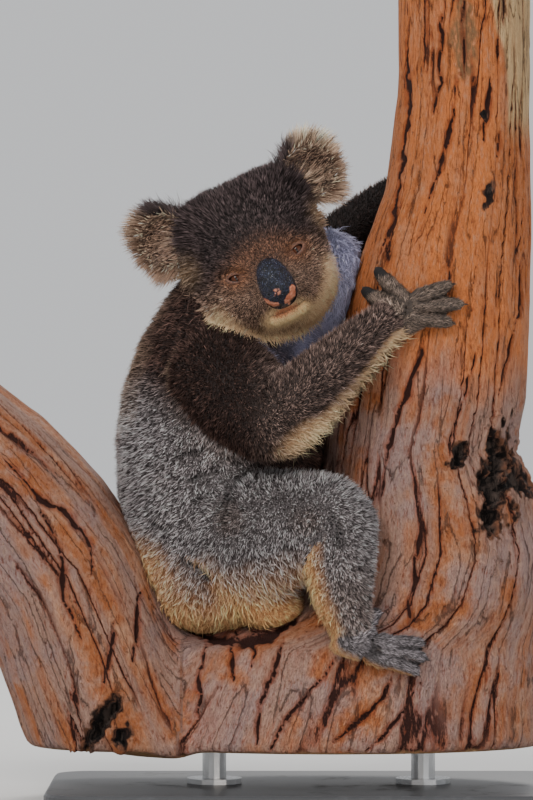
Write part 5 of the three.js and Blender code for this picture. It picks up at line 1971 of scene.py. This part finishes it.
def eyeball(sign):
    """Rings round the line of sight from front to back, with a bulge at the front."""
    angle = np.linspace(0, math.pi, 34)[1:-1, None]
    reach = EYE["radius"] + 0.55 * bell(angle, 0.55)
    points, faces = closed_tube(reach[..., None] * ways_round(angle, turns(56)[None, :]))
    toward = np.arctan2(np.hypot(points[:, 0], points[:, 2]), -points[:, 1])
    slit = np.where(points[:, 1] < 0, oval(points[:, 0], points[:, 2], (0, 0), (1.0, 3.4)), FAR)
    return from_head(points + EYE_AT[sign]), faces, toward, slit


for side, sign in SIDES.items():
    ball_points, ball_faces, toward, slit = eyeball(sign)
    ball = put_mesh(f"eyeball_{side}", ball_points, outward(ball_points, ball_faces),
                    numbers={"gaze": toward, "pupil": slit})
    dress(ball, eye_glass, "eye", f"eye_{side}")

# %% Lids
lid_skin = Finish("lid_skin", Roughness=0.5)
lid_speck = lid_skin.noise(lid_skin.place(), 700, 4.0)
lid_tone = lid_skin.mix(lid_skin.span(lid_speck, 0.35, 0.65), (66, 38, 25), (112, 70, 49))
furred = lid_skin.mix(lid_skin.span(lid_speck, 0.35, 0.65), (56, 33, 23), (112, 76, 55))
lid_share = lid_skin.attribute("from_edge")
lid_tone = lid_skin.mix(lid_skin.span(lid_share, 0.28, 0.6), lid_tone, furred)
lid_tone = lid_skin.mix(lid_skin.span(lid_share, 0.16, 0.04), lid_tone, (34, 17, 13))
lid_skin.paint(lid_skin.mix(lid_skin.attribute("corner"), lid_tone, (24, 13, 11)))
lid_skin.bump(lid_speck, 0.5, 0.0006)


def eye_lids(sign, around=96, across=14):
    """A ring round the opening: at each turn a profile runs from the almond on the ball, over a
    bulge and a crease, to the outer oval under the skin, and back behind."""
    turn = turns(around)[:, None]
    c, s = np.cos(turn), np.sin(turn)
    out = np.concatenate([np.linspace(0, 1, across), np.linspace(1, 0, 4)])[None, :]
    behind = np.concatenate([np.zeros(across), [2.4, 3.0, 3.0, 1.6]])[None, :]
    open_up = np.where(s > 0, ALMOND["up"], ALMOND["down"]) * np.abs(s) ** 1.25 * np.sign(s)
    along = ALMOND["half"] * c * (1 - out) + ALMOND["outer_half"] * c * out
    up = open_up * (1 - out) + ALMOND["outer_tall"] * s * out
    on_ball = -np.sqrt(np.maximum((EYE["radius"] + 1.0) ** 2 - (ALMOND["half"] * c) ** 2 - open_up**2, 9))
    upper = ramp(s, -0.1, 0.5)
    bulge = (1.5 + 0.7 * upper) * np.sin(math.pi * out**0.8) * (0.6 + 0.4 * np.abs(s))
    crease = 0.9 * upper * bell(out, 0.09, 0.52)
    depth = on_ball * (1 - out**1.8) - 4.4 * out**1.8 - bulge + crease + behind
    dx, dz = slanted(along, up, -EYE["slant"])
    spots = np.stack([dx * sign, depth, dz], -1) + EYE_AT[sign]
    columns = spots.shape[1]
    faces = grid_faces(around + 1, columns)
    faces = np.where(faces >= around * columns, faces - around * columns, faces)
    corner = bell(c, 0.16, -1) * (1 - ramp(out, 0.2, 0.7))
    points = from_head(spots.reshape(-1, 3))
    return points, outward(points, [faces]), (out + 0 * turn).ravel(), corner.ravel()


for side, sign in SIDES.items():
    lid_points, lid_faces, from_edge, corner = eye_lids(sign)
    lids = put_mesh(f"lids_{side}", lid_points, lid_faces, numbers={"from_edge": from_edge, "corner": corner})
    dress(lids, lid_skin, "coat", f"eye_{side}")

# %% [markdown]
# ## Claws
#
# Hands and feet have long curved claws that hook into the wood, two thumbs on each hand and none on
# the foot's first toe. Each claw is an oval cone that leaves the toe, arches over and comes down to
# the wood. Where the wood's surface lies is found by stepping towards it through its distance field.

# %% Claws
# For each paw: its side, and for each digit its last joint and its claw's tip, as x, z.
CLAWS = {
    "hand_right": (RIGHT, [((62, 580), (58, 588)), ((76, 602), (74, 610)), ((152, 585), (168, 588)),
                           ((164, 564), (182, 564)), ((152, 543), (167, 541))]),
    "hand_left": (LEFT, [((130, 758), (122, 768)), ((152, 770), (148, 782)), ((208, 754), (222, 757)),
                         ((219, 734), (233, 733)), ((207, 712), (220, 708))]),
}
TOE_CLAWS = [((120, 187), (133, 185)), ((122, 170), (138, 163)), ((114, 155), (126, 144))]
for name, side in SIDES.items():
    shift = LEFT_FOOT_SHIFT if side == LEFT else 0
    CLAWS[f"foot_{name}"] = (side, [((a[0] + shift, a[1]), (b[0] + shift, b[1])) for a, b in TOE_CLAWS])
CLAW = {"root": 3.0, "tip": 0.35, "from": 4.0, "arch": 3.0, "lift": 0.7, "shown": 0.72, "flat": 0.72}


def on_wood(flat, side):
    """The y of the wood at points x, z, found by stepping inwards from the side by the distance."""
    spots = np.stack([flat[:, 0], np.full(len(flat), side * 190.0), flat[:, 1]], -1)
    for _ in range(40):
        spots[:, 1] -= side * 0.8 * wood_room.read(wood_field, spots)
    return spots


def claw(joint, tip, side, rows=16, columns=12):
    """An oval cone along a path that arches from inside the toe down to the wood at its tip."""
    share = np.linspace(-0.35, 1, rows)
    joint, tip = np.array(joint), np.array(tip)
    tip = joint + CLAW["shown"] * (tip - joint)
    flat = joint[None] * (1 - share[:, None]) + tip[None] * share[:, None]
    path = on_wood(flat, side)
    lift = CLAW["from"] * (1 - share) + CLAW["lift"] * share
    lift = lift + 4 * CLAW["arch"] * np.clip(share, 0, 1) * (1 - share)
    path[:, 1] += side * lift
    way = unit(np.gradient(path, axis=0))
    across = unit(np.cross(way, np.array([0, side, 0])))
    rise = np.cross(across, way)
    reach = CLAW["tip"] + (CLAW["root"] - CLAW["tip"]) * (1 - np.clip(share, 0, 1)) ** 0.75
    turn = turns(columns)[None, :, None]
    oval_ring = CLAW["flat"] * np.cos(turn) * across[:, None] + np.sin(turn) * rise[:, None]
    rings = path[:, None] + reach[:, None, None] * oval_ring
    points, faces = closed_tube(rings)
    return points, outward(points, faces)


horn = Finish("claw_horn", Roughness=0.3)
horn_streak = horn.noise(horn.place(), 520, 4.0, 0.6)
horn.paint(horn.mix(horn.span(horn_streak, 0.35, 0.65), (22, 18, 17), (74, 64, 56)))
horn.bump(horn_streak, 0.25, 0.0004)
for name, (side, pairs) in CLAWS.items():
    made = put_mesh(f"claws_{name}", *together([claw(joint, tip, side) for joint, tip in pairs]))
    dress(made, horn, "claw", name)
    print(made.name, len(pairs), "claws")

# %% [markdown]
# ## The stand
#
# The stand is as plain as a museum's: a board in satin dark paint and two turned steel rods. The
# solids have the right shape already, so they only get finishes: a roller's fine orange peel with
# faint scuffs for the paint, and rings left by the lathe for the steel.

# %% Finishes of the stand
paint = Finish("board_paint", Roughness=0.42)
paint_place = paint.place()
peel = paint.noise(paint_place, 340, 3.0)
scuff = paint.span(paint.noise(paint_place, 14, 8.0, 0.7), 0.52, 0.74)
paint.paint(paint.mix(scuff, (66, 67, 70), (84, 85, 88)))
paint.link(paint.span(scuff, 0.0, 1.0, 0.38, 0.6), paint.shader.inputs["Roughness"])
paint.bump(peel, 0.3, 0.0004)
steel = Finish("turned_steel", Metallic=1.0, Roughness=0.3)
lathe = steel.add("ShaderNodeTexWave", {"wave_type": "BANDS", "bands_direction": "Z"},
                  Vector=steel.place(), Scale=420.0, Distortion=0.6, Detail=2.0).outputs["Fac"]
smear = steel.noise(steel.place(), 60, 4.0)
steel.paint(steel.mix(smear, (186, 188, 190), (206, 207, 208)))
steel.link(steel.span(lathe, 0.0, 1.0, 0.24, 0.38), steel.shader.inputs["Roughness"])
steel.bump(lathe, 0.12, 0.0002)
for name, finish in (("stand_base", paint), ("stand_rod_1", steel), ("stand_rod_2", steel)):
    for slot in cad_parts[name].material_slots:
        slot.material = finish.material
    print(name, len(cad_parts[name].material_slots), "material slots")
